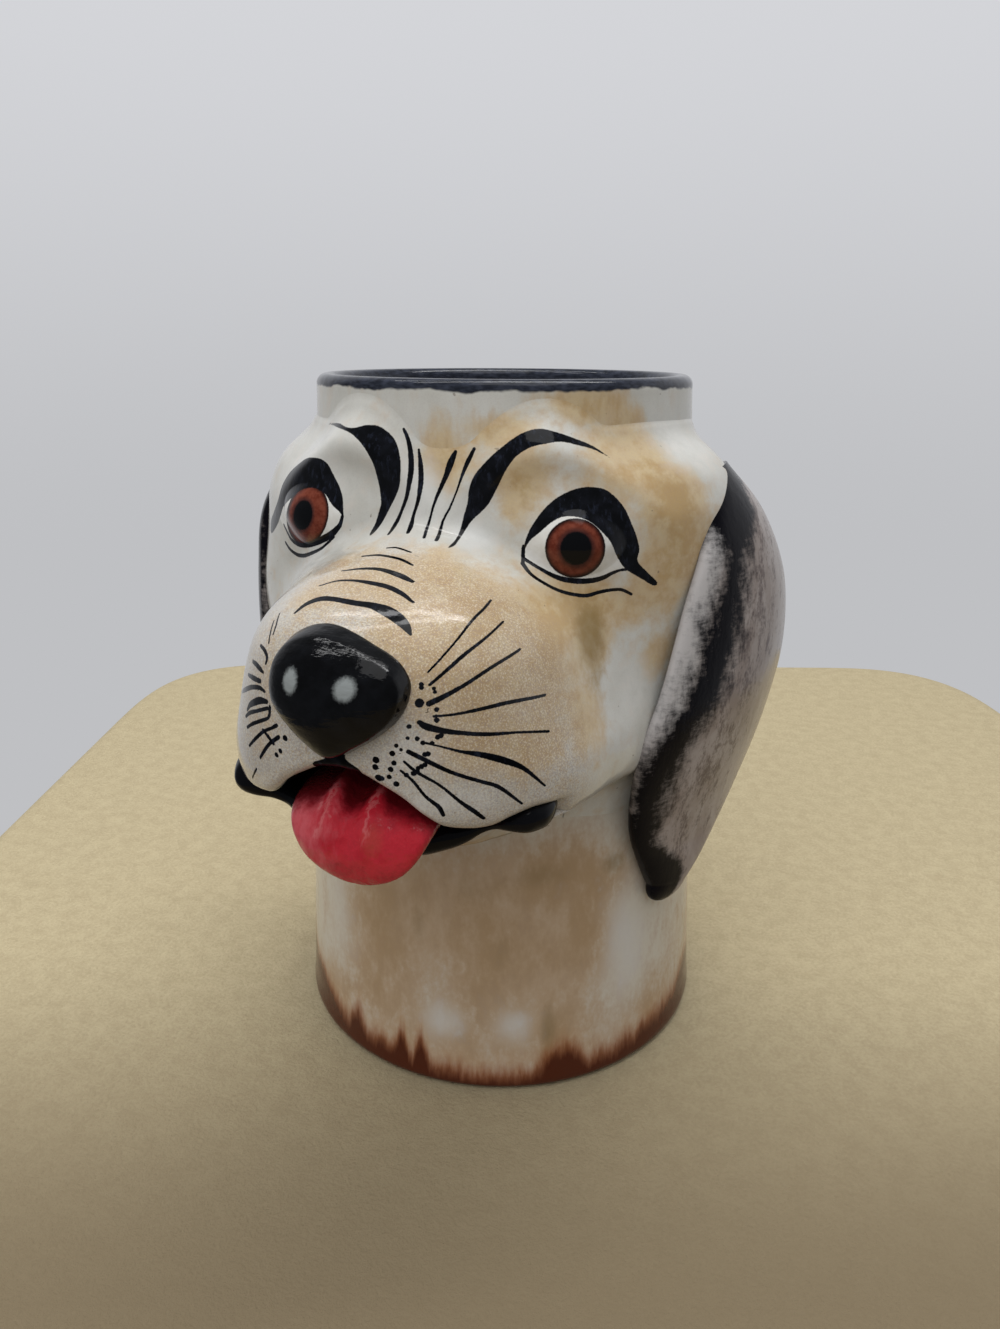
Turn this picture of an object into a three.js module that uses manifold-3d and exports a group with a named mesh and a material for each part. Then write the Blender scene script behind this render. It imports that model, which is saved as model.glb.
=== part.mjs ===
// A tall pottery mug in the form of a dog's head, built from luted clay pieces.
// Millimetres, +Z up. The origin is the middle of the flat underside, on the axis of the cup.
// The dog looks along -Y, and +X is the dog's left.
import * as THREE from 'three';
import { mergeVertices } from 'three/addons/utils/BufferGeometryUtils.js';
import Module from 'manifold-3d';

const wasm = await Module();
wasm.setup();

// Cup
const cupHeight = 148;
const rimRadius = 40;
const footRadius = 48.4;
const cupWallThickness = 4.4;
const footRound = 1.6;
const floorThickness = 6;

// Clearance left open at every luted joint
const seat = 0.3;
// How far a trimming body runs past the body that it trims
const overrun = 4;

// Head: where it leaves the neck and the rim, its largest section, and the thinnest clay at its edge
const headBottom = 63;
const headTop = 137.5;
const headHalfWidth = 52.3;
const headDepth = 42.4;
const headBlend = 5;
const headEdge = 0.9;
const headCrown = 4.8;
const faceWall = 5;
const faceCornerRise = 16;

// Muzzle
const muzzleReach = 79;
const muzzleHalfWidth = 38.4;
const muzzleBlend = 12;

// Mouth: the upper lip's lowest height, its rise to the middle, and the rounding of its edge
const lipLow = 76;
const lipArch = 14;
const lipRound = 2.2;

// Eyes
const eyeHeight = 120.9;
const eyeTilt = 0.95;
const eyeHalfWidth = 8.4;
const eyeHalfHeight = 6.2;
const eyeDome = 2.2;
const eyeEdge = 0.6;
const moundHeight = 2.4;
const moundSpread = 10;

// Brows: crest of the ridge, its fall to both sides, its height off the head and its breadth
const browCrest = 136.4;
const browFall = 5;
const browHeight = 3.6;
const browBreadth = 4.4;

// Nose
const noseHeight = 101.4;
const noseOffset = 0.6;
const noseHalfWidth = 11.6;
const noseHalfHeight = 10;
const noseDome = 4.4;
const noseEdge = 1.2;

// Lower jaw: its top in the middle, the rise to the corners, its lip, its place behind the muzzle,
// its width and its root
const jawTop = 74;
const jawRise = 3;
const jawLip = 5.8;
const jawSetback = 9.2;
const jawReach = muzzleReach - jawSetback;
const jawHalfWidth = 38;
const jawRoot = 60;

// Tongue
const tongueHalfWidth = 14;
const tongueOffset = 1.4;
const tongueThickness = 6.4;
const tongueOverhang = 3.4;
const tongueReach = jawReach + tongueThickness / 2 + tongueOverhang;
const tongueTip = 66.2;
const tongueHump = 1.2;

// Ears
const earProud = 10.2;
const earReach = headHalfWidth + earProud;
const earTop = 129.5;
const earTip = 39;
const earWidth = 28;
const earThickness = 6.4;
const earBulge = 5;

// Handle
const handleTop = 122;
const handleBottom = 48;
const handleReach = 33;
const handleWidth = 15;
const handleThickness = 8.4;

// Angles round the cup are measured from the front, positive towards the dog's left
const degree = Math.PI / 180;
const cornerAngle = 28 * degree;
const cornerStep = 3.4 * degree;
const faceAngle = 112 * degree;
const fadeAngle = 84 * degree;
const eyeAngle = 34.8 * degree;
const eyeSkew = 0.7 * degree;
const browAngle = 26 * degree;
const browSpread = 17 * degree;
const browSkew = 4 * degree;
const jawAngle = 27.4 * degree;
const rightEarSwing = 16 * degree;

// How finely each form is cut
const cupSides = 64;
const cupRoundSteps = 3;
const faceColumns = 56;
const lipRows = 5;
const faceRows = 23;
const profileSteps = 6;
const padRings = 5;
const padSides = 24;
const jawColumns = 16;
const jawLipSteps = 4;
const tongueSteps = 18;
const tongueSides = 18;
const earSteps = 16;
const earSides = 20;
const handleSteps = 24;
const handleSides = 16;

// Squareness of the sections: 2 is an ellipse
const headPower = 2.25;
const muzzlePower = 2.85;
const jawPower = 2.8;
const jawRisePower = 4;
const tongueSectionPower = 2.5;
const tongueTipPower = 2.4;
const earSectionPower = 2.67;
// Roundness of a raised pad from its edge to its top
const nosePower = 2.4;
const eyePower = 2;
const lidPower = 1.2;

// Head sections: share of its height, share of its half width, share of its depth
const headSectionShares = [
  [0.00, 0.80, 0.90],
  [0.06, 0.865, 0.95],
  [0.12, 0.91, 0.975],
  [0.20, 0.93, 0.985],
  [0.40, 0.955, 0.99],
  [0.62, 0.985, 1.00],
  [0.80, 1.00, 0.99],
  [0.89, 0.96, 0.955],
  [0.95, 0.885, 0.91],
  [1.00, 0.76, 0.84],
];
// Muzzle sections: share of the head's height, share of the half width, share of the reach
const muzzleSectionShares = [
  [0.00, 0.55, 0.42],
  [0.07, 0.68, 0.57],
  [0.12, 0.92, 0.82],
  [0.16, 1.03, 0.935],
  [0.22, 1.05, 0.975],
  [0.28, 1.04, 0.99],
  [0.36, 0.99, 1.00],
  [0.46, 0.92, 1.00],
  [0.55, 0.85, 0.99],
  [0.605, 0.775, 0.965],
  [0.65, 0.68, 0.925],
  [0.685, 0.60, 0.86],
  [0.715, 0.51, 0.785],
  [0.74, 0.43, 0.71],
  [0.77, 0.34, 0.60],
  [0.82, 0.24, 0.44],
  [1.00, 0.14, 0.30],
];
// Lip line: share of the angle to the mouth's corner, share of the arch
const lipShares = [
  [0.00, 1.00],
  [0.10, 0.94],
  [0.27, 0.66],
  [0.44, 0.31],
  [0.58, 0.10],
  [0.74, 0.00],
  [0.88, 0.03],
  [1.00, 0.12],
];
const noseTaperShare = 0.26;
// Jaw: how far its lip thins to the corners, over what stretch, and where its underside bends
const jawTaperShare = 0.72;
const jawTaperShares = [0.2, 0.85];
const chinOutShare = 0.35;
const chinUpShare = 0.45;
const chinFadeShare = 0.8;
// Tongue's midline: share of the way out from the cup, share of the way down to the tip
const tongueLineShares = [
  [0.00, 0.00],
  [0.45, 0.00],
  [0.78, 0.02],
  [0.95, 0.22],
  [1.00, 0.57],
  [0.99, 1.00],
];
// Tongue: where its tip starts to narrow, how much it narrows, its width at the root,
// its thickness at the tip
const tongueTipShare = 0.62;
const tongueTaperShare = 0.985;
const tongueRootShare = 0.84;
const tongueEndShare = 0.8;
// Ear edges: share of the reach outwards, share of the width fore and aft, share of the drop
const earFrontShares = [
  [0.74, -0.40, 0.00],
  [0.772, -0.72, 0.13],
  [0.742, -0.885, 0.26],
  [0.702, -1.035, 0.43],
  [0.648, -1.16, 0.59],
  [0.624, -1.075, 0.76],
  [0.655, -0.88, 0.90],
  [0.69, -0.72, 1.00],
];
const earBackShares = [
  [0.66, 0.42, 0.02],
  [0.83, 0.68, 0.13],
  [0.93, 0.83, 0.26],
  [0.965, 0.84, 0.43],
  [0.94, 0.66, 0.60],
  [0.875, 0.26, 0.77],
  [0.80, -0.28, 0.91],
  [0.735, -0.70, 1.00],
];
// Ear: where its tip starts to thin, how much it thins, and the stretch over which it bulges
const earTipShare = 0.8;
const earTaperShare = 0.97;
const earBulgeShares = [0.15, 1.2];
// How far the face's columns crowd towards the front
const columnCrowdShare = 0.25;
// Handle's midline: share of its reach, share of its height down from the top
const handleLineShares = [
  [0.35, 0.00],
  [0.85, 0.13],
  [1.00, 0.42],
  [0.80, 0.73],
  [0.40, 0.94],
];
const handleRootShare = 0.04;

// Colour, roughness
const glaze = [0xd9d6cb, 0.2];
const tanGlaze = [0xcbb083, 0.2];
const blackGlaze = [0x14151b, 0.12];
const brownGlaze = [0x6a3626, 0.12];
const redGlaze = [0xb52c38, 0.15];
const earGlaze = [0x6f6470, 0.25];

const mix = (a, b, t) => a + (b - a) * t;
const ramp = (from, to, at) => THREE.MathUtils.smoothstep(at, from, to);
const bell = (offset) => Math.exp(-offset * offset);
const power = (value, exponent) => Math.sign(value) * Math.abs(value) ** exponent;

// A smooth curve through the rows of a table, level where the table turns
function tableValue(table, at, column) {
  const last = table.length - 1;
  const x = THREE.MathUtils.clamp(at, table[0][0], table[last][0]);
  const slope = (i) => (table[i + 1][column] - table[i][column]) / (table[i + 1][0] - table[i][0]);
  const tangent = (i) => {
    if (i === 0 || i === last) return slope(Math.min(i, last - 1));
    const [before, after] = [slope(i - 1), slope(i)];
    return before * after > 0 ? (2 * before * after) / (before + after) : 0;
  };
  let i = 0;
  while (i < last - 1 && table[i + 1][0] < x) i += 1;
  const span = table[i + 1][0] - table[i][0];
  const t = (x - table[i][0]) / span;
  const arc = span * t * (1 - t) * ((1 - t) * tangent(i) - t * tangent(i + 1));
  return mix(table[i][column], table[i + 1][column], t * t * (3 - 2 * t)) + arc;
}

// The larger of two sizes, with their meeting rounded over the blend
function smoothMax(a, b, blend) {
  const near = Math.max(blend - Math.abs(a - b), 0) / blend;
  return Math.max(a, b) + near * near * blend / 4;
}

function superellipse(angle, halfWidth, depth, exponent) {
  const across = Math.abs(Math.sin(angle)) / halfWidth;
  const along = Math.abs(Math.cos(angle)) / depth;
  return (across ** exponent + along ** exponent) ** (-1 / exponent);
}

function polar(angle, height, radius) {
  return new THREE.Vector3(radius * Math.sin(angle), -radius * Math.cos(angle), height);
}

const cupRadius = (height) => mix(footRadius, rimRadius, height / cupHeight);

// Brow ridges and eye mounds, as a height off the head
function relief(angle, height) {
  const offset = (Math.abs(angle - browSkew) - browAngle) / browSpread;
  const crest = browCrest - browFall * offset * offset;
  const brow = browHeight * bell(offset) * bell((height - crest) / browBreadth);
  const side = Math.sign(angle);
  const across = (Math.abs(angle - eyeSkew) - eyeAngle) * headDepth;
  const up = height - eyeHeight + side * eyeTilt;
  return brow + moundHeight * bell(Math.hypot(across, up) / moundSpread);
}

// The outside of the whole head, as a radius from the axis of the cup
function headRadius(angle, height) {
  const share = (height - headBottom) / (headTop - headBottom);
  const skull = superellipse(
    angle,
    headHalfWidth * tableValue(headSectionShares, share, 1),
    headDepth * tableValue(headSectionShares, share, 2),
    headPower,
  );
  const muzzle = superellipse(
    angle,
    muzzleHalfWidth * tableValue(muzzleSectionShares, share, 1),
    muzzleReach * tableValue(muzzleSectionShares, share, 2),
    muzzlePower,
  );
  const cup = cupRadius(height);
  const behind = ramp(fadeAngle, faceAngle, Math.abs(angle));
  const head = mix(skull, cup - headBlend, behind);
  return smoothMax(smoothMax(head, muzzle, muzzleBlend), cup, headBlend) + relief(angle, height);
}

// Height of the upper lip's edge, which runs level past the mouth's corners
function lipHeight(angle) {
  return lipLow + lipArch * tableValue(lipShares, Math.abs(angle) / cornerAngle, 1);
}

const besideMouth = (angle) => ramp(cornerAngle, cornerAngle + cornerStep, Math.abs(angle));

// How far the face's outline is rounded off towards its back corners
function cornerRise(angle) {
  const past = THREE.MathUtils.clamp((Math.abs(angle) - fadeAngle) / (faceAngle - fadeAngle), 0, 1);
  return faceCornerRise * (1 - Math.sqrt(1 - past * past));
}

// Lower end of the face: the lip in front, and the neck beside the mouth
function faceBottom(angle) {
  return mix(lipHeight(angle), headBottom, besideMouth(angle)) + cornerRise(angle);
}

// Upper end of the face, which rises over each brow
function faceTop(angle) {
  const offset = (Math.abs(angle - browSkew) - browAngle) / browSpread;
  return headTop + headCrown * bell(offset) - cornerRise(angle);
}

// The face's outside, rounded in at the lip and never thinner over the cup than its edge
function skinRadius(angle, height) {
  const over = THREE.MathUtils.clamp((lipHeight(angle) - height) / lipRound + 1, 0, 1);
  const tuck = lipRound * (1 - Math.sqrt(1 - over * over)) * (1 - besideMouth(angle));
  return Math.max(headRadius(angle, height) - tuck, cupRadius(height) + seat + headEdge);
}

// The face's lining: a wall's thickness in and down, and never closer to the cup than the seat
function liningRadius(angle, height) {
  const inward = headRadius(angle, height) - faceWall;
  const under = headRadius(angle, height + faceWall);
  return Math.max(cupRadius(height) + seat, Math.min(inward, under));
}

// Turns a body's triangles round if they face inwards
function facingOut(geometry) {
  const index = Array.from(geometry.getIndex().array);
  const position = geometry.getAttribute('position');
  const corners = index.map((i) => new THREE.Vector3().fromBufferAttribute(position, i));
  let volume = 0;
  for (let i = 0; i < corners.length; i += 3) {
    volume += corners[i].dot(corners[i + 1].clone().cross(corners[i + 2]));
  }
  if (volume < 0) index.reverse();
  geometry.setIndex(index);
  return geometry;
}

// Ends of a body made of rings: a fan round the middle of a ring
function fanEnd(points, start, count) {
  const middle = new THREE.Vector3();
  for (let i = 0; i < count; i += 1) middle.add(points[start + i]);
  const hub = points.push(middle.divideScalar(count)) - 1;
  return Array.from({ length: count }, (_, i) => [hub, start + i, start + ((i + 1) % count)]).flat();
}

// Or strips from side to side, for a ring that is thin and bent
function stripEnd(points, start, count) {
  const strips = [];
  for (let i = 0; i + 1 < count / 2; i += 1) {
    const [a, b, c, d] = [start + i, start + i + 1, start + count - 2 - i, start + count - 1 - i];
    strips.push(a, b, c, a, c, d);
  }
  return strips;
}

// A closed body through rings of points, each facet cut along its shorter diagonal
function ringBody(rings, makeEnd = fanEnd) {
  const count = rings[0].length;
  const points = rings.flat();
  const triangles = [];
  for (let start = 0; start + count < points.length; start += count) {
    for (let i = 0; i < count; i += 1) {
      const [a, b] = [start + i, start + ((i + 1) % count)];
      const [c, d] = [b + count, a + count];
      const first = points[a].distanceTo(points[c]) < points[b].distanceTo(points[d]);
      if (first) triangles.push(a, b, c, a, c, d);
      else triangles.push(a, b, d, b, c, d);
    }
  }
  const lastStart = points.length - count;
  triangles.push(...makeEnd(points, 0, count).reverse());
  triangles.push(...makeEnd(points, lastStart, count));
  const geometry = new THREE.BufferGeometry().setFromPoints(points);
  geometry.setIndex(triangles);
  return facingOut(geometry);
}

// A profile turned round the upright axis
function turned(profile) {
  const geometry = new THREE.LatheGeometry(profile, cupSides).rotateX(Math.PI / 2);
  geometry.deleteAttribute('normal');
  geometry.deleteAttribute('uv');
  return facingOut(mergeVertices(geometry));
}

function toSolid(geometry) {
  const bare = geometry.clone();
  bare.deleteAttribute('normal');
  bare.deleteAttribute('uv');
  const merged = mergeVertices(bare);
  return new wasm.Manifold(new wasm.Mesh({
    numProp: 3,
    vertProperties: merged.getAttribute('position').array,
    triVerts: new Uint32Array(merged.getIndex().array),
  }));
}

function toGeometry(solid) {
  const mesh = solid.getMesh();
  const geometry = new THREE.BufferGeometry();
  geometry.setAttribute('position', new THREE.BufferAttribute(mesh.vertProperties, 3));
  geometry.setIndex(Array.from(mesh.triVerts));
  return geometry;
}

// Cup wall: a tapered tube with a half-round lip and an eased foot
function cupWall() {
  const lip = cupWallThickness / 2;
  const lipMiddle = cupRadius(cupHeight - lip) - lip;
  const profile = new THREE.Shape();
  profile.absarc(footRadius - footRound, footRound, footRound, -Math.PI / 2, 0, false);
  profile.absarc(lipMiddle, cupHeight - lip, lip, 0, Math.PI, false);
  profile.lineTo(footRadius - cupWallThickness, 0);
  const outline = profile.getPoints(cupRoundSteps);
  return turned([...outline, outline[0].clone()]);
}

// Cup floor: the slab inside the foot of the wall
function cupFloor() {
  const edge = (height) => new THREE.Vector2(cupRadius(height) - cupWallThickness - seat, height);
  const top = new THREE.Vector2(0, floorThickness);
  return turned([new THREE.Vector2(0, 0), edge(0), edge(floorThickness), top]);
}

// The room that the cup takes among the pieces luted to it
function cupRoom() {
  const edge = (height) => new THREE.Vector2(cupRadius(height) + seat, height);
  const [low, high] = [-overrun, cupHeight + overrun];
  return toSolid(turned([new THREE.Vector2(0, low), edge(low), edge(high), new THREE.Vector2(0, high)]));
}

function columnAngle(column) {
  const across = (2 * column) / faceColumns - 1;
  return faceAngle * mix(across, across ** 3, columnCrowdShare);
}

// Heights up one column of the face: a few over the lip's edge or under the cheek,
// and the rest evenly spaced along the column's own profile
function columnHeights(angle) {
  const lip = lipHeight(angle) + lipRound;
  const low = Array.from({ length: lipRows }, (_, row) => mix(faceBottom(angle), lip, row / lipRows));
  const fine = faceRows * profileSteps;
  const height = (i) => mix(lip, faceTop(angle), i / fine);
  const spots = [[0, lip]];
  for (let i = 1; i <= fine; i += 1) {
    const run = skinRadius(angle, height(i)) - skinRadius(angle, height(i - 1));
    spots.push([spots[i - 1][0] + Math.hypot(height(i) - height(i - 1), run), height(i)]);
  }
  const high = Array.from({ length: faceRows + 1 }, (_, row) => (
    tableValue(spots, spots[fine][0] * row / faceRows, 1)
  ));
  return [...low, ...high];
}

// A ring for each column of the face: up the outside, and down the inside
function faceRings(outside, inside) {
  return Array.from({ length: faceColumns + 1 }, (_, column) => {
    const angle = columnAngle(column);
    const heights = columnHeights(angle);
    const up = heights.map((height) => polar(angle, height, outside(angle, height)));
    const down = heights.map((height) => polar(angle, height, inside(angle, height)));
    return [...up, ...down.reverse()];
  });
}

// Face: one pressed shell, open at the back and at the mouth
function faceMask() {
  return ringBody(faceRings(skinRadius, liningRadius), stripEnd);
}

// The room that the face takes among the pieces luted to it
function faceRoom() {
  const outside = (angle, height) => skinRadius(angle, height) + seat;
  return toSolid(ringBody(faceRings(outside, () => rimRadius / 2), stripEnd));
}

// A pad pressed on the face: its outline in angle and height, raised to a dome
function facePad(outline, edge, dome, roundness) {
  const middle = outline.reduce((sum, spot) => sum.add(spot), new THREE.Vector2());
  middle.divideScalar(outline.length);
  const ring = (share, lift) => outline.map((spot) => {
    const { x: angle, y: height } = middle.clone().lerp(spot, share);
    return polar(angle, height, headRadius(angle, height) + seat + lift);
  });
  const rings = [ring(1, -overrun)];
  for (let i = 0; i < padRings; i += 1) {
    const share = Math.cos((i / padRings) * Math.PI / 2);
    rings.push(ring(share, edge + dome * (1 - share ** roundness) ** (1 / roundness)));
  }
  return toGeometry(toSolid(ringBody(rings)).subtract(faceRoom()).subtract(cupRoom()));
}

// Nose: broad at the top, and drawn to a point above the lip
function nose() {
  const outline = Array.from({ length: padSides }, (_, i) => {
    const turn = (i / padSides) * Math.PI * 2;
    const across = noseHalfWidth * Math.cos(turn) * (1 + noseTaperShare * Math.sin(turn));
    return new THREE.Vector2((across + noseOffset) / muzzleReach, noseHeight + noseHalfHeight * Math.sin(turn));
  });
  return facePad(outline, noseEdge, noseDome, nosePower);
}

// Eyeball: an almond pad between its two corners
function eye(side) {
  const outline = Array.from({ length: padSides }, (_, i) => {
    const turn = (i / padSides) * Math.PI * 2;
    const angle = side * eyeAngle + eyeSkew + (eyeHalfWidth * Math.cos(turn)) / headDepth;
    const lid = eyeHalfHeight * power(Math.sin(turn), lidPower);
    return new THREE.Vector2(angle, eyeHeight - side * eyeTilt + lid);
  });
  return facePad(outline, eyeEdge, eyeDome, eyePower);
}

// Lower jaw: a crescent shelf bent round the cup, with a rounded lip and a sloping underside
function lowerJaw() {
  const root = (height) => cupRadius(height) + seat;
  const rings = Array.from({ length: jawColumns + 1 }, (_, column) => {
    const across = (2 * column) / jawColumns - 1;
    const angle = jawAngle * across;
    const reach = superellipse(angle, jawHalfWidth, jawReach, jawPower);
    const top = jawTop + jawRise * across ** jawRisePower;
    const lip = jawLip * (1 - jawTaperShare * ramp(...jawTaperShares, Math.abs(across))) / 2;
    const foot = mix(jawRoot, top - lip - lip, chinFadeShare * across * across);
    const section = [[root(top), top]];
    for (let step = 0; step <= jawLipSteps; step += 1) {
      const turn = Math.PI * (0.5 - step / jawLipSteps);
      section.push([reach - lip + lip * Math.cos(turn), top - lip + lip * Math.sin(turn)]);
    }
    section.push([mix(root(foot), reach, chinOutShare), mix(foot, top - lip - lip, chinUpShare)]);
    section.push([root(foot), foot]);
    return section.map(([radius, height]) => polar(angle, height, radius));
  });
  return ringBody(rings);
}

// Tongue: sections along a line that lies on the jaw and falls over its lip
function tongue() {
  const flat = jawTop + jawRise / 2 + seat + tongueThickness / 2;
  const line = new THREE.CatmullRomCurve3(tongueLineShares.map(([out, down]) => (
    new THREE.Vector3(tongueOffset, -mix(rimRadius, tongueReach, out), mix(flat, tongueTip, down))
  )));
  const rings = Array.from({ length: tongueSteps + 1 }, (_, step) => {
    const share = step / tongueSteps;
    const tip = Math.max((share - tongueTipShare) / (1 - tongueTipShare), 0);
    const taper = Math.sqrt(1 - tongueTaperShare * tip ** tongueTipPower);
    const width = tongueHalfWidth * mix(tongueRootShare, 1, ramp(0, 1, 2 * share)) * taper;
    const half = (tongueThickness / 2) * mix(1, tongueEndShare, share) * Math.sqrt(taper);
    const middle = line.getPointAt(share);
    const along = line.getTangentAt(share);
    const up = new THREE.Vector3(0, along.z, -along.y);
    return Array.from({ length: tongueSides }, (_, i) => {
      const turn = (i / tongueSides) * Math.PI * 2;
      const across = power(Math.cos(turn), 2 / tongueSectionPower);
      const hump = tongueHump * (1 - Math.cos(across * Math.PI * 2)) / 2 * taper;
      const lift = (half + (Math.sin(turn) > 0 ? hump : 0)) * power(Math.sin(turn), 2 / tongueSectionPower);
      return middle.clone().addScaledVector(up, lift).setX(middle.x + width * across);
    });
  });
  return toGeometry(toSolid(ringBody(rings)).subtract(cupRoom()));
}

// Ear: a leaf of bent sections between its front and back edges, rooted in the side of the head
// and hanging free below, where it may swing back round the cup
function ear(side, swing) {
  const upright = new THREE.Vector3(0, 0, 1);
  const edge = (shares) => new THREE.CatmullRomCurve3(shares.map(([out, along, down]) => (
    new THREE.Vector3(side * earReach * out, earWidth * along, mix(earTop, earTip, down))
      .applyAxisAngle(upright, side * swing * down * down)
  )));
  const [front, back] = [edge(earFrontShares), edge(earBackShares)];
  const rings = Array.from({ length: earSteps + 1 }, (_, step) => {
    const share = step / earSteps;
    const from = front.getPoint(share);
    const chord = back.getPoint(share).sub(from);
    const fall = front.getTangent(share).add(back.getTangent(share));
    const out = chord.clone().cross(fall).normalize();
    out.multiplyScalar(Math.sign(out.x) * side);
    const tip = Math.max((share - earTipShare) / (1 - earTipShare), 0);
    const half = (earThickness / 2) * Math.sqrt(1 - earTaperShare * tip * tip);
    const bulge = earBulge * Math.sin(Math.PI * Math.min(mix(...earBulgeShares, share), 1));
    return Array.from({ length: earSides }, (_, i) => {
      const turn = (i / earSides) * Math.PI * 2;
      const across = 0.5 - power(Math.cos(turn), 2 / earSectionPower) / 2;
      const lift = half * power(Math.sin(turn), 2 / earSectionPower) + bulge * Math.sin(across * Math.PI);
      return from.clone().addScaledVector(chord, across).addScaledVector(out, lift);
    });
  });
  return toGeometry(toSolid(ringBody(rings)).subtract(faceRoom()).subtract(cupRoom()));
}

// Handle: an oval strap from under the rim to above the foot
function handle() {
  const line = ([out, down]) => new THREE.Vector3(
    0,
    cupRadius(handleTop) + handleReach * out,
    mix(handleTop, handleBottom, down),
  );
  const root = (height) => new THREE.Vector3(0, cupRadius(height) - cupWallThickness, height);
  const path = new THREE.CatmullRomCurve3([
    root(mix(handleTop, handleBottom, handleRootShare)),
    ...handleLineShares.map(line),
    root(handleBottom),
  ]);
  const section = new THREE.Shape();
  section.absellipse(0, 0, handleWidth / 2, handleThickness / 2, 0, Math.PI * 2, false);
  const strap = new THREE.ExtrudeGeometry(section, {
    steps: handleSteps,
    curveSegments: handleSides / 2,
    bevelEnabled: false,
    extrudePath: path,
  });
  return toGeometry(toSolid(strap).subtract(cupRoom()));
}

const mug = new THREE.Group();

function addPiece(name, geometry, [color, roughness]) {
  const material = new THREE.MeshStandardMaterial({ color, roughness, metalness: 0 });
  const mesh = new THREE.Mesh(geometry, material);
  mesh.name = name;
  mug.add(mesh);
}

addPiece('cup_wall', cupWall(), glaze);
addPiece('cup_floor', cupFloor(), glaze);
addPiece('face_mask', faceMask(), tanGlaze);
addPiece('nose', nose(), blackGlaze);
addPiece('left_eye', eye(1), brownGlaze);
addPiece('right_eye', eye(-1), brownGlaze);
addPiece('lower_jaw', lowerJaw(), blackGlaze);
addPiece('tongue', tongue(), redGlaze);
addPiece('left_ear', ear(1, 0), earGlaze);
addPiece('right_ear', ear(-1, rightEarSwing), earGlaze);
addPiece('handle', handle(), glaze);

export default mug;
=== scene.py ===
"""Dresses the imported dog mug: fine glazed surfaces, hand-painted face, floor, light and camera."""

import math

import bmesh
import bpy
import mathutils
import numpy as np
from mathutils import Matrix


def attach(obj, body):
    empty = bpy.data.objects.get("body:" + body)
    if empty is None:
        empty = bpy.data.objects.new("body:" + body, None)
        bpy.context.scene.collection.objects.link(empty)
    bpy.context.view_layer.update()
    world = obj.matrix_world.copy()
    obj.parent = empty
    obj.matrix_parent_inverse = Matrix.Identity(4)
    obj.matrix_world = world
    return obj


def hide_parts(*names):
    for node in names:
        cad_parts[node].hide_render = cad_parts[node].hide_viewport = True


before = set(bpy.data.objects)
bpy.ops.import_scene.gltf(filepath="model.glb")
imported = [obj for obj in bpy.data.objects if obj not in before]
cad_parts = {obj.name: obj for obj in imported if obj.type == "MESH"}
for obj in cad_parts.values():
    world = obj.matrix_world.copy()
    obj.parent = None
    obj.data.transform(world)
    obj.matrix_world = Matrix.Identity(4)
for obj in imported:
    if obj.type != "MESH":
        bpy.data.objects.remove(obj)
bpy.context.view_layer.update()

# Lengths are in millimetres up to the meshes, which are in metres.
MM = 0.001
DEG = math.pi / 180

# Cup, as in the solids
CUP_HEIGHT, RIM, FOOT, WALL, FLOOR = 148.0, 40.0, 48.4, 4.4, 6.0
FOOT_ROUND, COVE = 2, 5
# Head
BOTTOM, TOP, HALF_WIDTH, DEPTH = 63.0, 137.5, 52.3, 42.4
BLEND, MUZZLE_BLEND, CROWN, FACE_WALL = 5.0, 12.0, 4.8, 5.0
MUZZLE_REACH, MUZZLE_HALF = 79.0, 38.4
LIP_LOW, LIP_ARCH, LIP_ROUND = 76.0, 14.0, 2.2
CORNER, CORNER_STEP, FACE_ANGLE, FADE_ANGLE = 28 * DEG, 3.4 * DEG, 112 * DEG, 84 * DEG
EYE_Z, EYE_TILT, EYE_HALF_W, EYE_HALF_H, EYE_DOME = 120.9, 0.95, 8.4, 6.2, 2.2
EYE_ANGLE, EYE_SKEW = 34.8 * DEG, 0.7 * DEG
MOUND, MOUND_SPREAD = 2.4, 10.0
BROW_CREST, BROW_FALL, BROW_HEIGHT, BROW_BREADTH = 136.4, 5.0, 3.6, 4.4
BROW_ANGLE, BROW_SPREAD, BROW_SKEW = 26 * DEG, 17 * DEG, 4 * DEG
NOSE_DOME = 4.4
JAW_TOP, JAW_RISE, JAW_REACH, JAW_HALF = 74.0, 3.0, 69.8, 38.0
TONGUE_HALF, TONGUE_OFFSET, TONGUE_THICK, TONGUE_REACH, TONGUE_TIP = 14.0, 1.4, 6.4, 76.4, 66.2
EAR_REACH, EAR_TOP, EAR_TIP, EAR_WIDTH, EAR_THICK, EAR_BULGE = 62.38, 129.5, 39.0, 28.0, 6.4, 5.0
HANDLE_TOP, HANDLE_BOTTOM, HANDLE_REACH, HANDLE_W, HANDLE_T = 122.0, 48.0, 32.93, 15.0, 8.4
# The dog's right side as the photograph shows it: a fuller cheek, and an ear that stands off more
FAR_CHEEK, FAR_EAR_SWING, FAR_EAR_STAND = 3.6, 16 * DEG, 1.8
# Heights at which the dark of the rim ends, inside and outside, and how high the foot's brown is
RIM_INSIDE, RIM_OUTSIDE, FOOT_BROWN = 139.0, 145.8, 3.5

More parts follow.
